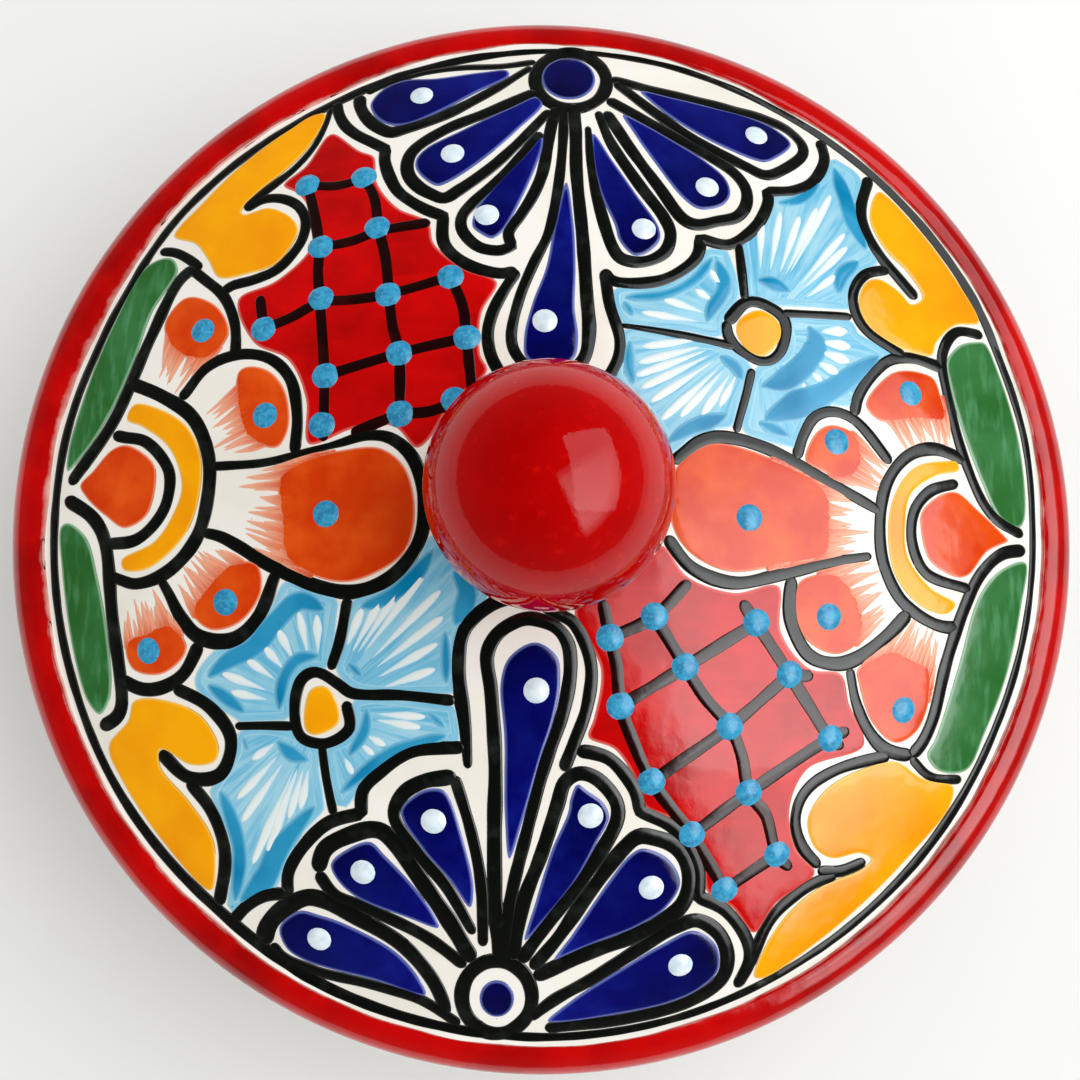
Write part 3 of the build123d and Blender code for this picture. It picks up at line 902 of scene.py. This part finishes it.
scroll_black = [
    (2.6, [(-72.5, 50.4), (-70.3, 51.9), (-65, 53), (-60, 55), (-56.6, 58.5), (-54.4, 62.5), (-54, 67),
        (-56, 71), (-60, 73.4), (-64.5, 73.6), (-68.8, 71.4)]),
    ((1.6, 1.8, 2.8), [(-50.2, 98.5), (-51.3, 93), (-53.6, 87), (-57.6, 81.5), (-62, 77.6), (-65.5, 74.8),
        (-68.8, 71.4)]),
    (3.2, [(-80.5, -37.5), (-71.9, -41.9), (-67.3, -48.8), (-70, -56.2), (-77.3, -56.9), (-84, -51.4)]),
    (3.2, [(-77.5, -57.5), (-71.9, -64.6), (-69.4, -73.5), (-71.4, -85)]),
    (3.1, [(76.7, 82.5), (73.3, 71.2), (76.2, 62.3), (81.2, 55.8), (85.2, 51)]),
    (2.8, [(79, 57.8), (72.8, 55.8), (69.4, 51), (69.4, 46.3), (71.7, 42), (80.8, 36.3)]),
    (2.7, [(75, -52.3), (69.7, -53.2), (62.7, -55.1), (57, -58.3), (54.3, -62), (53.6, -66.7),
        (55.4, -71.8), (59.5, -76.2)]),
    (2.8, [(59, -77), (64, -77.3), (70.2, -75.3)]),
    (2.8, [(63.5, -78), (58, -79.9), (53.3, -83), (50, -86), (47.5, -90), (45.8, -94.5), (44.2, -98.5)]),
    (2.2, [(80, -52.8), (85, -57), (92.9, -57.9)]),
]
sky_black = [
    (2.6, [(-42, -40.5), (-41.3, -46.2), (-46.5, -49.4), (-51.9, -47.9), (-53.1, -41.5), (-51.5, -35.8),
        (-48.5, -34.4), (-43.6, -37), (-40.8, -38.8), (-30, -39.3), (-19, -40.5)]),
    (2.6, [(-45.4, -34), (-43.3, -28), (-41.6, -19)]),
    (2.1, [(-53, -45.8), (-60, -45.7), (-66.4, -45.8)]),
    (2.1, [(-47.3, -49.6), (-46.4, -56.5), (-44.9, -64.5)]),
    ((3.2, 2.8, 2.6, 2.6), [(39.2, 41.2), (43.8, 46.3), (47.3, 46.5), (52.6, 42.7), (51.2, 35.2),
        (47.7, 32.7), (41.9, 35.2), (39.6, 38.4), (39.2, 41.8)]),
    (2.3, [(43.8, 46.9), (43.2, 58.1), (43, 61)]),
    ((1.2, 2, 2.2), [(16, 39.9), (26, 38.5), (35, 37), (41, 35.8)]),
    (2.1, [(52, 44.3), (60, 44.6), (68.5, 44.8)]),
    (2.2, [(44.6, 31), (43.1, 25.2), (41.2, 19), (40.5, 16.5)]),
]
lower_sky_heart = (-47.5, -42.5)
upper_sky_heart = (46.5, 39.5)
# The deep strokes that edge each blue field and ring its heart. The widest one, beside the knob, is also
# painted shadow of the knob.
sky_bands = [
    ((3, 3.4, 3.6, 2.5), [(-70, -59.5), (-67.5, -66), (-66, -73), (-67.5, -84)]),
    ((2.6, 4, 5, 5, 3), [(-48.8, -62.5), (-53, -67), (-57.5, -72.5), (-60.5, -78.5), (-66.5, -84)]),
    ((3.5, 3.8, 3), [(-57, -48.8), (-54, -51.5), (-50, -53)]),
    (3, [(-64.5, -48), (-63.5, -51)]),
    ((4.5, 4.5, 4.5, 4, 3.5), [(-46.5, -21.5), (-52, -19.5), (-57.5, -24), (-62, -29), (-68, -32),
        (-72.5, -35.5)]),
    (3.5, [(-72.5, -37), (-68, -40), (-64, -43)]),
    (3, [(-47.5, -31), (-52.5, -31.8), (-55.5, -36), (-56.5, -42.5)]),
    (5, [(-41.5, -32.5), (-38.5, -35.5)]),
    (2.6, [(-21, -26), (-20.8, -37)]),
    (3.5, [(-39, -21), (-33, -19), (-27, -14), (-23.5, -9)]),
    # Partly painted shadow: besides edging the lower field, this wide deep stroke darkens it where the knob
    # shades the lid
    (5, [(-19.5, -13.5), (-16.5, -18), (-19, -25)]),
    (2.8, [(-37.5, -42), (-38, -46.5), (-41.5, -52)]),
    ((2, 3, 3, 3, 2.5), [(-43.5, -60), (-39, -56), (-32, -51), (-25, -48.8), (-20.5, -47.5)]),
    (3, [(-24.5, -43), (-21, -46)]),
    ((3.5, 4, 4.5, 4), [(67.8, 84), (69.5, 77), (71, 70), (73.5, 62)]),
    (4, [(71.5, 59), (67, 55), (65.5, 50)]),
    (2.8, [(53, 72), (58, 73.5), (64, 79)]),
    ((4, 4.5, 3), [(46.8, 52), (50, 51.5), (54.5, 49.5)]),
    (2.6, [(17, 46.3), (26, 47.3), (33, 51.5), (37, 57)]),
    (3.5, [(37.8, 56.5), (39.2, 50), (36, 44), (35, 41)]),
    (4, [(16.8, 45.5), (19, 42)]),
    (2.6, [(18, 36.5), (17.8, 31), (18.8, 26.5)]),
    (4, [(37.5, 33.5), (41, 31), (42.3, 28)]),
    ((2.6, 3.4, 3.8, 3), [(25.5, 13.5), (30.5, 17), (37, 19.5), (39, 20.5)]),
    ((3.5, 5.5, 5.5, 5, 3.5), [(58, 41.8), (59.5, 37.5), (56, 32), (51, 28.3), (46.5, 27)]),
    ((2.5, 4.5, 5, 6.5, 6), [(74.5, 36), (68.5, 31.5), (62, 26.8), (54, 23), (47, 19.5)]),
    (3, [(45.5, 19), (52.5, 16)]),
]
# A band's soft sides hide part of its width, so it is laid this much wider. Its ends are drawn out.
band_spread = 1.2
band_tips = (1.6, 1.6)
# The white hairs left bare: heart, distance where they begin, widths, and outer ends
thin_ray = (0.3, 1.1, 2.3, 1.7)
broad_ray = (0.9, 2.1, 3.3, 2.6)
ray_tips = (0.5, 1.5)
sky_rays = [
    (lower_sky_heart, 11, thin_ray, [(-66.3, -61.5), (-65.4, -66.4), (-63.2, -75.5), (-60, -73.5),
        (-58.2, -68), (-54.8, -65.5), (-52.2, -63.5), (-62.8, -53)]),
    (lower_sky_heart, 10.5, thin_ray, [(-69.5, -34.5), (-67.5, -38.5), (-64, -31.5), (-60, -28.8),
        (-57, -25), (-52.3, -21.5), (-48.3, -22.3)]),
    (lower_sky_heart, 12, thin_ray, [(-38.5, -21), (-34, -18.5), (-29.5, -15.5), (-25.5, -14), (-22, -17.5),
        (-21.5, -23), (-22.5, -28.5), (-23, -33.8)]),
    (lower_sky_heart, 10.5, thin_ray, [(-25, -43.8), (-26, -46), (-33.5, -49.8), (-36, -51.8),
        (-40.5, -56)]),
    (upper_sky_heart, 13, thin_ray, [(48.8, 69), (53.5, 70), (58, 69.3), (62.5, 72), (66.3, 76), (68.8, 66),
        (69, 62.5), (66, 55)]),
    (upper_sky_heart, 11, thin_ray, [(36, 54), (32.5, 49), (25, 46.5), (20.5, 43)]),
    (upper_sky_heart, 10, thin_ray, [(20.5, 35), (19.5, 31.3), (18.8, 28.3), (20, 25.6), (22, 22.6),
        (24.2, 18.6), (28.3, 19.4), (33, 19.8), (37, 22)]),
    (upper_sky_heart, 14.5, broad_ray, [(67.3, 41.2), (67.8, 37.5), (67.3, 34), (64.5, 31), (60.5, 29),
        (56.5, 27.3), (52, 26)]),
]
# The washes between them, with the hub of their hairs, and the thinner rim that joins them to the black
wash_rim_width = 2.4
wash_rim_height = 0.09
sky_fields = [
    (lower_sky_heart, [(-39.5, -20), (-33, -18), (-26.5, -12.5), (-23.5, -7), (-18, -13), (-13, -18.3),
        (-18, -24), (-20, -33), (-19.5, -38), (-19.5, -38), (-30, -38.2), (-37, -38), (-40.5, -37),
        (-43.2, -33.5), (-42, -29.5)]),
    (lower_sky_heart, [(-54.5, -16), (-49, -18), (-44.5, -19.8), (-44.5, -19.8), (-46, -30), (-47, -33),
        (-50.5, -33), (-54.5, -38.5), (-54.8, -43.5), (-54.8, -43.5), (-65, -44), (-65, -44),
        (-74.5, -36.5), (-69, -29.5), (-65, -28.5), (-57.5, -21)]),
    (lower_sky_heart, [(-64.5, -47.5), (-54.5, -47.5), (-49, -50.5), (-48.8, -55), (-47.8, -63),
        (-47.8, -63), (-54, -70), (-57, -76), (-59, -80), (-68.5, -85.5), (-68.5, -85.5), (-67, -72),
        (-71.5, -60), (-71.5, -60), (-66, -52)]),
    (lower_sky_heart, [(-39.5, -41), (-25, -41.5), (-19.8, -42), (-19.8, -42), (-18.9, -48), (-18.9, -48),
        (-25, -48), (-34, -52), (-41, -60), (-43, -62), (-45, -54), (-45.3, -50.8), (-42, -49),
        (-39.5, -46.5)]),
    (upper_sky_heart, [(15.5, 47.5), (25, 48.5), (32.5, 53), (36, 58.2), (36, 58.2), (39.8, 58), (39.8, 58),
        (41.5, 50), (41.3, 47.3), (37.8, 42), (37.5, 39), (30, 39.8), (17, 41.3)]),
    (upper_sky_heart, [(17.5, 38), (30, 36.2), (38, 35), (43.5, 31), (40.5, 23), (39.3, 18.5), (39.3, 18.5),
        (32, 17), (26.5, 12.3), (26.5, 12.3), (24, 18), (15.5, 28.8), (17.2, 35)]),
    (upper_sky_heart, [(45.5, 46.8), (44.8, 58), (44.7, 61.5), (49, 68), (51.5, 72.5), (58, 74.5),
        (65.5, 80.5), (68, 85.8), (68, 85.8), (73.5, 81.5), (71, 72), (75.5, 60), (69.5, 55.5),
        (67.2, 47.3), (67.2, 47.3), (60, 47.2), (51, 47)]),
    (upper_sky_heart, [(53.5, 42.5), (60, 42.7), (67.8, 42.8), (69, 40.5), (77, 36.3), (77, 36.3),
        (71, 31.5), (67.5, 25), (58.5, 24), (53, 14.5), (53, 14.5), (43, 17.5), (43.5, 21), (46.2, 30.3),
        (53, 34.5), (54, 38.5)]),
]
red_fields = [
    [(-60, 77), (-55, 82), (-50.5, 90), (-49, 90.5), (-42.5, 85), (-39, 83), (-38, 76), (-33, 69),
        (-26, 65), (-24.5, 59.5), (-18, 53.5), (-10.6, 49.8), (-13.8, 42.5), (-14, 33), (-12.5, 29.3),
        (-20, 22), (-25, 14), (-27.5, 12.5), (-32.5, 17.3), (-41, 17), (-50.8, 14), (-51.8, 24), (-56, 33),
        (-64.2, 37.7), (-68.5, 48.5), (-60, 52.3), (-53, 59), (-51.5, 65), (-56, 74)],
    [(5.8, -21.5), (11.2, -34), (9.8, -44), (8.7, -48), (14.5, -50.8), (19.5, -59), (20.5, -62.5),
        (27.5, -66), (33, -74), (34.5, -81), (40, -84.5), (45.3, -90.4), (50, -84), (58.5, -77.5),
        (53.8, -71.5), (52.3, -63), (56, -55), (68.8, -50), (65.2, -41), (63.3, -34.8), (56, -33.5),
        (49.8, -26), (49.3, -16.3), (39.5, -17.8), (29.5, -14.5), (23.8, -8), (12, -18)],
]
# The lattices' lines, and their widths on the left field and the right one
left_lattice_width = 2.9
right_lattice_width = 3.3
lattice_lines = [
    [(-54.2, 76.4), (-47.5, 75.6), (-41.2, 77)],
    [(-54.2, 76.4), (-52, 68.7), (-50.4, 59.9), (-50.3, 53.5), (-49.6, 47.2), (-47.8, 29.1), (-47.6, 14.5)],
    [(-41.2, 77.4), (-38.5, 72), (-37.2, 64.3), (-35.2, 56), (-34.2, 47.5), (-33.2, 40), (-31.6, 33.6),
        (-31.1, 20.1)],
    [(-25.5, 64.8), (-37.2, 63), (-43.5, 60.8), (-50.4, 59.9)],
    [(-20.8, 51.2), (-34.2, 47.5), (-42.5, 46.5), (-49.6, 46.2), (-56, 43), (-62.1, 40.8)],
    [(-17.1, 36.9), (-31.6, 33.6), (-47.6, 29.1)],
    [(-19.5, 22.3), (-25, 20.4), (-31.1, 19.9), (-37, 17.9), (-41.5, 15.8)],
    [(-20.8, 51.2), (-18, 44), (-17.1, 36.9), (-16, 27), (-15.4, 21.5)],
    [(-63.4, 49), (-62.1, 41)],
    [(11.5, -19.5), (13.2, -27.4), (14.5, -33), (15.4, -41.5), (18, -48.7), (22.1, -57.2), (30.8, -68.5),
        (38.3, -80.5)],
    [(30, -15.5), (22.5, -23), (13.2, -27.4)],
    [(22.5, -23), (29, -33.4), (33.2, -39.8), (38.6, -45.8), (41.3, -52), (43, -59.7), (46.8, -64.5),
        (49.6, -73.1), (53, -76.5)],
    [(44.3, -24.1), (29, -33.4), (15.4, -41.5)],
    [(41, -19.5), (51.6, -34.9), (56, -41.5), (60.9, -48.4), (64, -50.5)],
    [(57, -35.3), (51.6, -34.9), (51.6, -34.9), (38.6, -45.8), (22.1, -57.2)],
    [(65.3, -46.6), (60.9, -48.4), (43, -59.7), (30.8, -68.5)],
    [(49.6, -73.1), (38.3, -80.5)],
]


def towards(hub, outline):
    """A fade that is 0 at an outline's farthest place from the hub and 1 at its nearest."""
    reaches = [hypot(x - hub[0], y - hub[1]) for x, y in outline]
    near, far = min(reaches), max(reaches)

    def fade(x, y):
        reach = hypot(x - hub[0], y - hub[1])
        return min(max((far - reach) / (far - near), 0.0), 1.0)

    return fade


def bare_rays(paint):
    """White hairs that widen outward across the blue fields."""
    for heart, near, widths, ends in sky_rays:
        for end in ends:
            out = (Vector(end) - Vector(heart)).normalized()
            paint.line([Vector(heart) + out * near, end], widths, fades=(0.6, 0.0), tips=ray_tips)


def feather(paint, outline, heart, rng, reach=(3.5, 9.0)):
    """Brush hairs that run from a petal's inner side towards the flower's heart."""
    inner_side = 0.45
    gap, root = 1.2, 2.5
    most_lean, most_bend = 0.8, 0.4
    thinnest, thickest = 1.4, 2.6
    halfway_share, end_width = 0.7, 0.3
    edge = smooth(outline, closed=True, step=gap)
    middle = sum(edge, Vector((0, 0))) / len(edge)
    towards_heart = (Vector(heart) - middle).normalized()
    for place in edge:
        out = (place - middle).normalized()
        if out.dot(towards_heart) < inner_side:
            continue
        aim = (Vector(heart) - place).normalized()
        side = Vector((-aim.y, aim.x))
        start = place - aim * root
        length = rng.uniform(*reach)
        end = place + aim * length + side * rng.uniform(-most_lean, most_lean)
        bend = start.lerp(end, 0.5) + side * rng.uniform(-most_bend, most_bend)
        width = rng.uniform(thinnest, thickest)
        widths = (width, width * halfway_share, end_width)
        paint.line([start, bend, end], widths, fades=(0.1, 1.0), tips=(0.5, 4.0))


def ring_at(angle):
    """The black ring's radius and width at this angle in degrees."""
    angles, radii, widths = zip(*ring_places)
    return [float(np.interp(angle, angles, values, period=360)) for values in (radii, widths)]


def paint_ring(paint):
    """The black ring inside the rolled edge."""
    places, widths = [], []
    for angle in range(0, 360, 5):
        radius, width = ring_at(angle)
        places.append((radius * cos(radians(angle)), radius * sin(radians(angle))))
        widths.append(width)
    paint.line(places, (*widths, widths[0]), closed=True)


def paint_orange(paint):
    """The petals of the two orange flowers, a little paler towards the heart, and their hairs."""
    rng = random.Random(7)
    paleness = 0.1
    for petals, heart in ((left_petals, left_heart), (right_petals, right_heart)):
        for outline in petals:
            fade = towards(heart, outline)
            paint.pool(outline, fade=lambda x, y, fade=fade: paleness * fade(x, y) ** 2)
            feather(paint, outline, heart, rng)


def paint_lid():
    """The lid's picture, one mesh for each colour. Each colour is given with its height."""
    red = Paint(on_lid, 0.1)
    blue = Paint(on_lid, 0.06)
    deep_blue = Paint(on_lid, 0.16)
    rays = Paint(on_lid, 0.15)
    cobalt_pools = Paint(on_lid, 0.22)
    greens = Paint(on_lid, 0.2)
    yellows = Paint(on_lid, 0.22)
    oranges = Paint(on_lid, 0.18)
    lattice = Paint(on_lid, 0.19)
    lines = Paint(on_lid, 0.22)

    plain = ((red, red_fields), (greens, green_leaves), (yellows, yellow_pools), (oranges, orange_buds))
    for paint, outlines in plain:
        for outline in outlines:
            paint.pool(outline)
    for hub, outline in sky_fields:
        blue.pool(outline, hub=hub)
        blue.line(outline, wash_rim_width, closed=True, height=wash_rim_height)
    for width, points in sky_bands:
        widths = width if isinstance(width, tuple) else (width, width)
        deep_blue.line(points, tuple(band_spread * size for size in widths), tips=band_tips)
    bare_rays(rays)
    for outlines, hub in ((upper_cobalt, upper_hub), (lower_cobalt, lower_hub)):
        for outline in outlines:
            cobalt_pools.pool(outline, fade=towards(hub, outline))
    for place in hub_pools:
        cobalt_pools.pool(ellipse(*place))
    paint_orange(oranges)
    for points in lattice_lines:
        lattice.line(points, left_lattice_width if points[0][0] < 0 else right_lattice_width)
    paint_ring(lines)
    for place in hub_rings:
        lines.line(ellipse(*place), hub_ring_width, closed=True)
    for width, points in upper_black + lower_black + flower_black + scroll_black + sky_black:
        lines.line(points, width)
    for points in upper_scallops + lower_scallops:
        lines.line(points, scallop_width)

    red.make("lid_red_fields", red_field, "lid")
    blue.make("lid_sky_fields", sky, "lid")
    deep_blue.make("lid_sky_bands", deep_sky, "lid")
    rays.make("lid_sky_rays", ray_white, "lid")
    cobalt_pools.make("lid_cobalt_petals", cobalt, "lid")
    greens.make("lid_green_leaves", green, "lid")
    yellows.make("lid_yellow_scrolls", yellow, "lid")
    oranges.make("lid_orange_petals", orange, "lid")
    lattice.make("lid_lattice_lines", lattice_black, "lid")
    lines.make("lid_black_lines", black, "lid")


def lathe_band(name, profile, around, material, body, fade):
    """A band turned about the axis. profile gives a row of (radius, height) for an angle."""
    rows = len(profile(0.0))
    band = Paint(lambda x, y, height: (x * MM, y * MM, height * MM), 0)
    for i in range(around):
        angle = 2 * pi * i / around
        for k, (radius, height) in enumerate(profile(angle)):
            band.add_point(radius * cos(angle), radius * sin(angle), height, 1.0, fade(k), (0.0, 0.0, 0.0))
        for k in range(rows - 1):
            a = i * rows + k
            b = ((i + 1) % around) * rows + k
            band.faces.append([a, b, b + 1, a + 1])
    band.make(name, material, body)


# A band's last edge dips under the clay by this much
dip = -0.05

# The rolled edge's red: its thickness, its gap outside the black ring, how far and how often the gap wavers,
# the direction in degrees where it closes and by how much, and the points across the red's three stretches
bead_thick = 0.14
bead_gap = 1.9
ragged_by = 0.5
ragged_pace = 9
closing_angle = 52
closing = 0.9
inner_steps = 8
top_steps = 16
under_steps = 7
under_reach = 78


def bead_profile(angle):
    """The red glaze over the rolled edge, from just outside the black ring round to the underside."""
    ring_radius = ring_at(degrees(angle))[0]
    ragged = ragged_by * noise.noise(Vector((cos(angle) * ragged_pace, sin(angle) * ragged_pace, 1.0)))
    closeness = max(cos(angle - radians(closing_angle)), 0) ** 6
    start = min(ring_radius + bead_gap - closing * closeness + ragged, crest_radius - 0.1)
    made = []
    for step in range(inner_steps):
        radius = start + (crest_radius - start) * step / inner_steps
        lift = sunk + (bead_thick - sunk) * min(step / 3, 1.0) ** 0.5
        height = on_lid(radius * cos(angle), radius * sin(angle), 0)[2] / MM
        made.append((radius, height + lift))
    for step in range(top_steps + 1):
        lean = (pi / 2) * step / top_steps
        radius = crest_radius + (bead_top_round + bead_thick) * sin(lean)
        made.append((radius, bead_centre + (bead_top_round + bead_thick) * cos(lean)))
    for step in range(1, under_steps + 1):
        lean = radians(under_reach) * step / under_steps
        depth = bead_thick if step < under_steps else dip
        radius = lid_radius - bead_under_round + (bead_under_round + depth) * cos(lean)
        made.append((radius, bead_centre - (bead_under_round + depth) * sin(lean)))
    return made


def bead_fade(step):
    """1 at the red's inner edge, down to 0 at the crest."""
    return max(1 - step / inner_steps, 0.0)


# The bowl's band: how often it repeats, its two border lines as distances down the wall, the petals of a fan
# and a flower as angle and length, and the shortest and the longest of the flower's hairs
repeats = 8
band_top = 10.5
band_foot = 45.0
fan_petals = ((-70, 27), (-36, 31), (0, 34), (36, 31), (70, 27))
flower_petals = ((-62, 24), (-22, 29), (22, 29), (62, 24))
flower_hairs = (2.0, 4.0)
leaf = [(0, 0), (3, -7), (9, -11), (16, -10), (14, -4), (7, -1)]
leaf_aside, leaf_down = 15, -3
arch_radius = 8.5
arch = [(arch_radius * cos(radians(a)), -arch_radius * sin(radians(a))) for a in range(0, 181, 30)]
# The yellow arch inside the black one: its share of that one's size, and how much higher it stands
yellow_arch_share = 0.72
yellow_arch_up = 1.2
# A petal's pool and the black line round it: what each takes off the length, its width and where it starts
fan_pool, fan_line = (12, 8, 9), (6, 12.5, 5)
flower_pool, flower_line = (15, 8.5, 12), (6, 12, 8)
white_dot_radius = 1.9
white_dot_from_tip = 8
white_dot_places = 8
# The fan's heart: how far it hangs under the border line, and its size across and down
heart_down, heart_across, heart_long = 2.6, 3, 2.4
# Widths of the lines
border_width = 2.2
fan_line_width = 2.0
flower_line_width = 1.9
arch_width = 2.0
yellow_arch_width = 3.0
# A petal's right side from its start to its tip, as shares of its width and its length
petal_side = ((0.34, 0.4), (0.5, 0.75), (0.3, 0.96))


def petal(whole_length, taken_off, width, start):
    """A drop-shaped outline that points from the origin along +Y."""
    length = whole_length - taken_off
    right = [(across * width, start + along * length) for across, along in petal_side]
    left = [(-x, y) for x, y in reversed(right)]
    return [(0, start), *right, (0, start + length), *left]


def paint_bowl():
    """Hanging fans and standing flowers by turns round the bowl's wall, one mesh for each colour."""
    pitch = 2 * pi * rim_radius / repeats
    rng = random.Random(11)
    cobalt_pools = Paint(on_bowl, 0.2)
    yellows = Paint(on_bowl, 0.2)
    oranges = Paint(on_bowl, 0.18)
    greens = Paint(on_bowl, 0.18)
    whites = Paint(on_bowl, 0.6)
    lines = Paint(on_bowl, 0.28)
    for down in (band_top, band_foot):
        lines.line([(pitch * i / 4, down) for i in range(repeats * 4 + 1)], border_width)
    for i in range(repeats):
        hub = (pitch * i, band_top)
        for angle, length in fan_petals:
            cobalt_pools.pool(turned(petal(length, *fan_pool), angle, hub))
            lines.line(turned(petal(length, *fan_line), angle, hub), fan_line_width, closed=True)
            dot_place = turned([(0, length - white_dot_from_tip)], angle, hub)[0]
            whites.pool(ellipse(dot_place, white_dot_radius, white_dot_radius, white_dot_places))
        cobalt_pools.pool(ellipse((hub[0], hub[1] + heart_down), heart_across, heart_long))
        heart = (pitch * (i + 0.5), band_foot)
        for angle, length in flower_petals:
            outline = turned(petal(length, *flower_pool), 180 - angle, heart)
            oranges.pool(outline)
            feather(oranges, outline, heart, rng, flower_hairs)
            black_outline = turned(petal(length, *flower_line), 180 - angle, heart)
            lines.line(black_outline, flower_line_width, closed=True)
        inner_arch = [(x * yellow_arch_share, y * yellow_arch_share - yellow_arch_up) for x, y in arch]
        yellows.line([(heart[0] + x, heart[1] + y) for x, y in inner_arch], yellow_arch_width)
        lines.line([(heart[0] + x, heart[1] + y) for x, y in arch], arch_width)
        for side in (-1, 1):
            greens.pool([(heart[0] + side * (leaf_aside + x), heart[1] + leaf_down + y) for x, y in leaf])
    cobalt_pools.make("bowl_cobalt_petals", cobalt, "base")
    yellows.make("bowl_yellow_arches", yellow, "base")
    oranges.make("bowl_orange_petals", orange, "base")
    greens.make("bowl_green_leaves", green, "base")
    whites.make("bowl_white_drops", enamel, "base")
    lines.make("bowl_black_lines", black, "base")


def rim_profile(angle):
    """The red band under the bowl's rim."""
    start, depth, thick = 1.8, 6.4, 0.12
    steps = 11
    made = []
    for step in range(steps + 1):
        down = start + depth * step / steps
        lift = thick if 0 < step < steps else dip
        point = on_bowl(angle * rim_radius, down, lift) / MM
        made.append((axis_distance(point), point.z))
    return made


paint_lid()
lathe_band("lid_red_bead", bead_profile, 720, red_bead, "lid", bead_fade)
lathe_band("bowl_red_band", rim_profile, 360, red_bead, "base", lambda step: 0.0)
paint_bowl()


# The floor, the light and the camera


def make_floor():
    """A plain pale floor, which the camera sees nearly white."""
    size = 9.0
    mesh = bpy.data.meshes.new("floor")
    corners = [(-size, -size, 0), (size, -size, 0), (size, size, 0), (-size, size, 0)]
    mesh.from_pydata(corners, [], [[0, 1, 2, 3]])
    floor = bpy.data.objects.new("floor", mesh)
    bpy.context.scene.collection.objects.link(floor)
    f = Finish("floor", 0.9)
    f.shader.inputs["Base Color"].default_value = colour("#eeeeeb")
    f.shader.inputs["Specular IOR Level"].default_value = 0.1
    mesh.materials.append(f.material)


def make_world():
    """Soft light from all round, a little stronger from the right. The glaze reflects a dim room with a wide
    window to the right, brightest towards the viewer, and the camera sees a pale backdrop."""
    world = bpy.data.worlds.new("world")
    bpy.context.scene.world = world
    world.use_nodes = True
    nodes = Nodes(world.node_tree)
    back = nodes.tree.nodes["Background"]
    direction = nodes.node("TexCoord", {}).outputs["Generated"]
    split = nodes.node("SeparateXYZ", {"Vector": direction})

    def level(axis, *ends):
        return nodes.span(split.outputs[axis], *ends)

    def choose(ray, other, chosen):
        path = nodes.node("LightPath", {})
        return nodes.node("Mix", {"Factor": path.outputs[ray], 2: other, 3: chosen}).outputs[0]

    # Light from the left and from the right, then what gloss mirrors low down and from overhead
    lit = level("X", -1.0, 1.0, 0.62, 0.98)
    mirrored = level("Z", 0.0, 0.8, 0.14, 0.02)
    window = nodes.maths("MULTIPLY", level("Y", -0.6, 0.3, 3.8, 1.3), level("Z", 0.42, 0.6, 0.0, 1.0))
    # The window's two sides: how they slant, and where each begins and is full
    for slant, begins, full in ((0.52, 0.04, 0.12), (-1.5, 0.0, 0.3)):
        aside = nodes.node("VectorMath", {0: direction, 1: (1.0, slant, 0.0)}, operation="DOT_PRODUCT")
        window = nodes.maths("MULTIPLY", window, nodes.span(aside.outputs["Value"], begins, full))
    mirrored = nodes.maths("ADD", mirrored, window)
    backdrop = 0.95
    strength = choose("Is Camera Ray", choose("Is Glossy Ray", lit, mirrored), backdrop)
    nodes.tree.links.new(strength, back.inputs["Strength"])
    back.inputs["Color"].default_value = (1.0, 1.0, 1.0, 1.0)


def make_window():
    """One large soft light to the right, which the knob reflects."""
    light = bpy.data.lights.new("window", "AREA")
    light.shape = "RECTANGLE"
    light.size = 1.3
    light.size_y = 0.8
    light.energy = 6.2
    light.color = (0.93, 0.97, 1.0)
    lamp = bpy.data.objects.new("window", light)
    lamp.location = (0.62, 0.1, 0.85)
    aim = Vector((0.0, 0.0, 0.05)) - lamp.location
    lamp.rotation_euler = aim.to_track_quat("-Z", "Y").to_euler()
    bpy.context.scene.collection.objects.link(lamp)


def make_camera():
    """The photograph's camera, looking down with +Y up the picture."""
    data = bpy.data.cameras.new("camera")
    data.lens = camera_lens
    data.clip_start = 0.01
    camera = bpy.data.objects.new("camera", data)
    back = (camera_place - camera_target).normalized()
    right = Vector((0, 1, 0)).cross(back).normalized()
    up = back.cross(right)
    camera.matrix_world = Matrix.Translation(camera_place) @ Matrix((right, up, back)).transposed().to_4x4()
    bpy.context.scene.collection.objects.link(camera)
    bpy.context.scene.camera = camera


make_floor()
make_world()
make_window()
make_camera()
bpy.context.scene.view_settings.view_transform = "Standard"
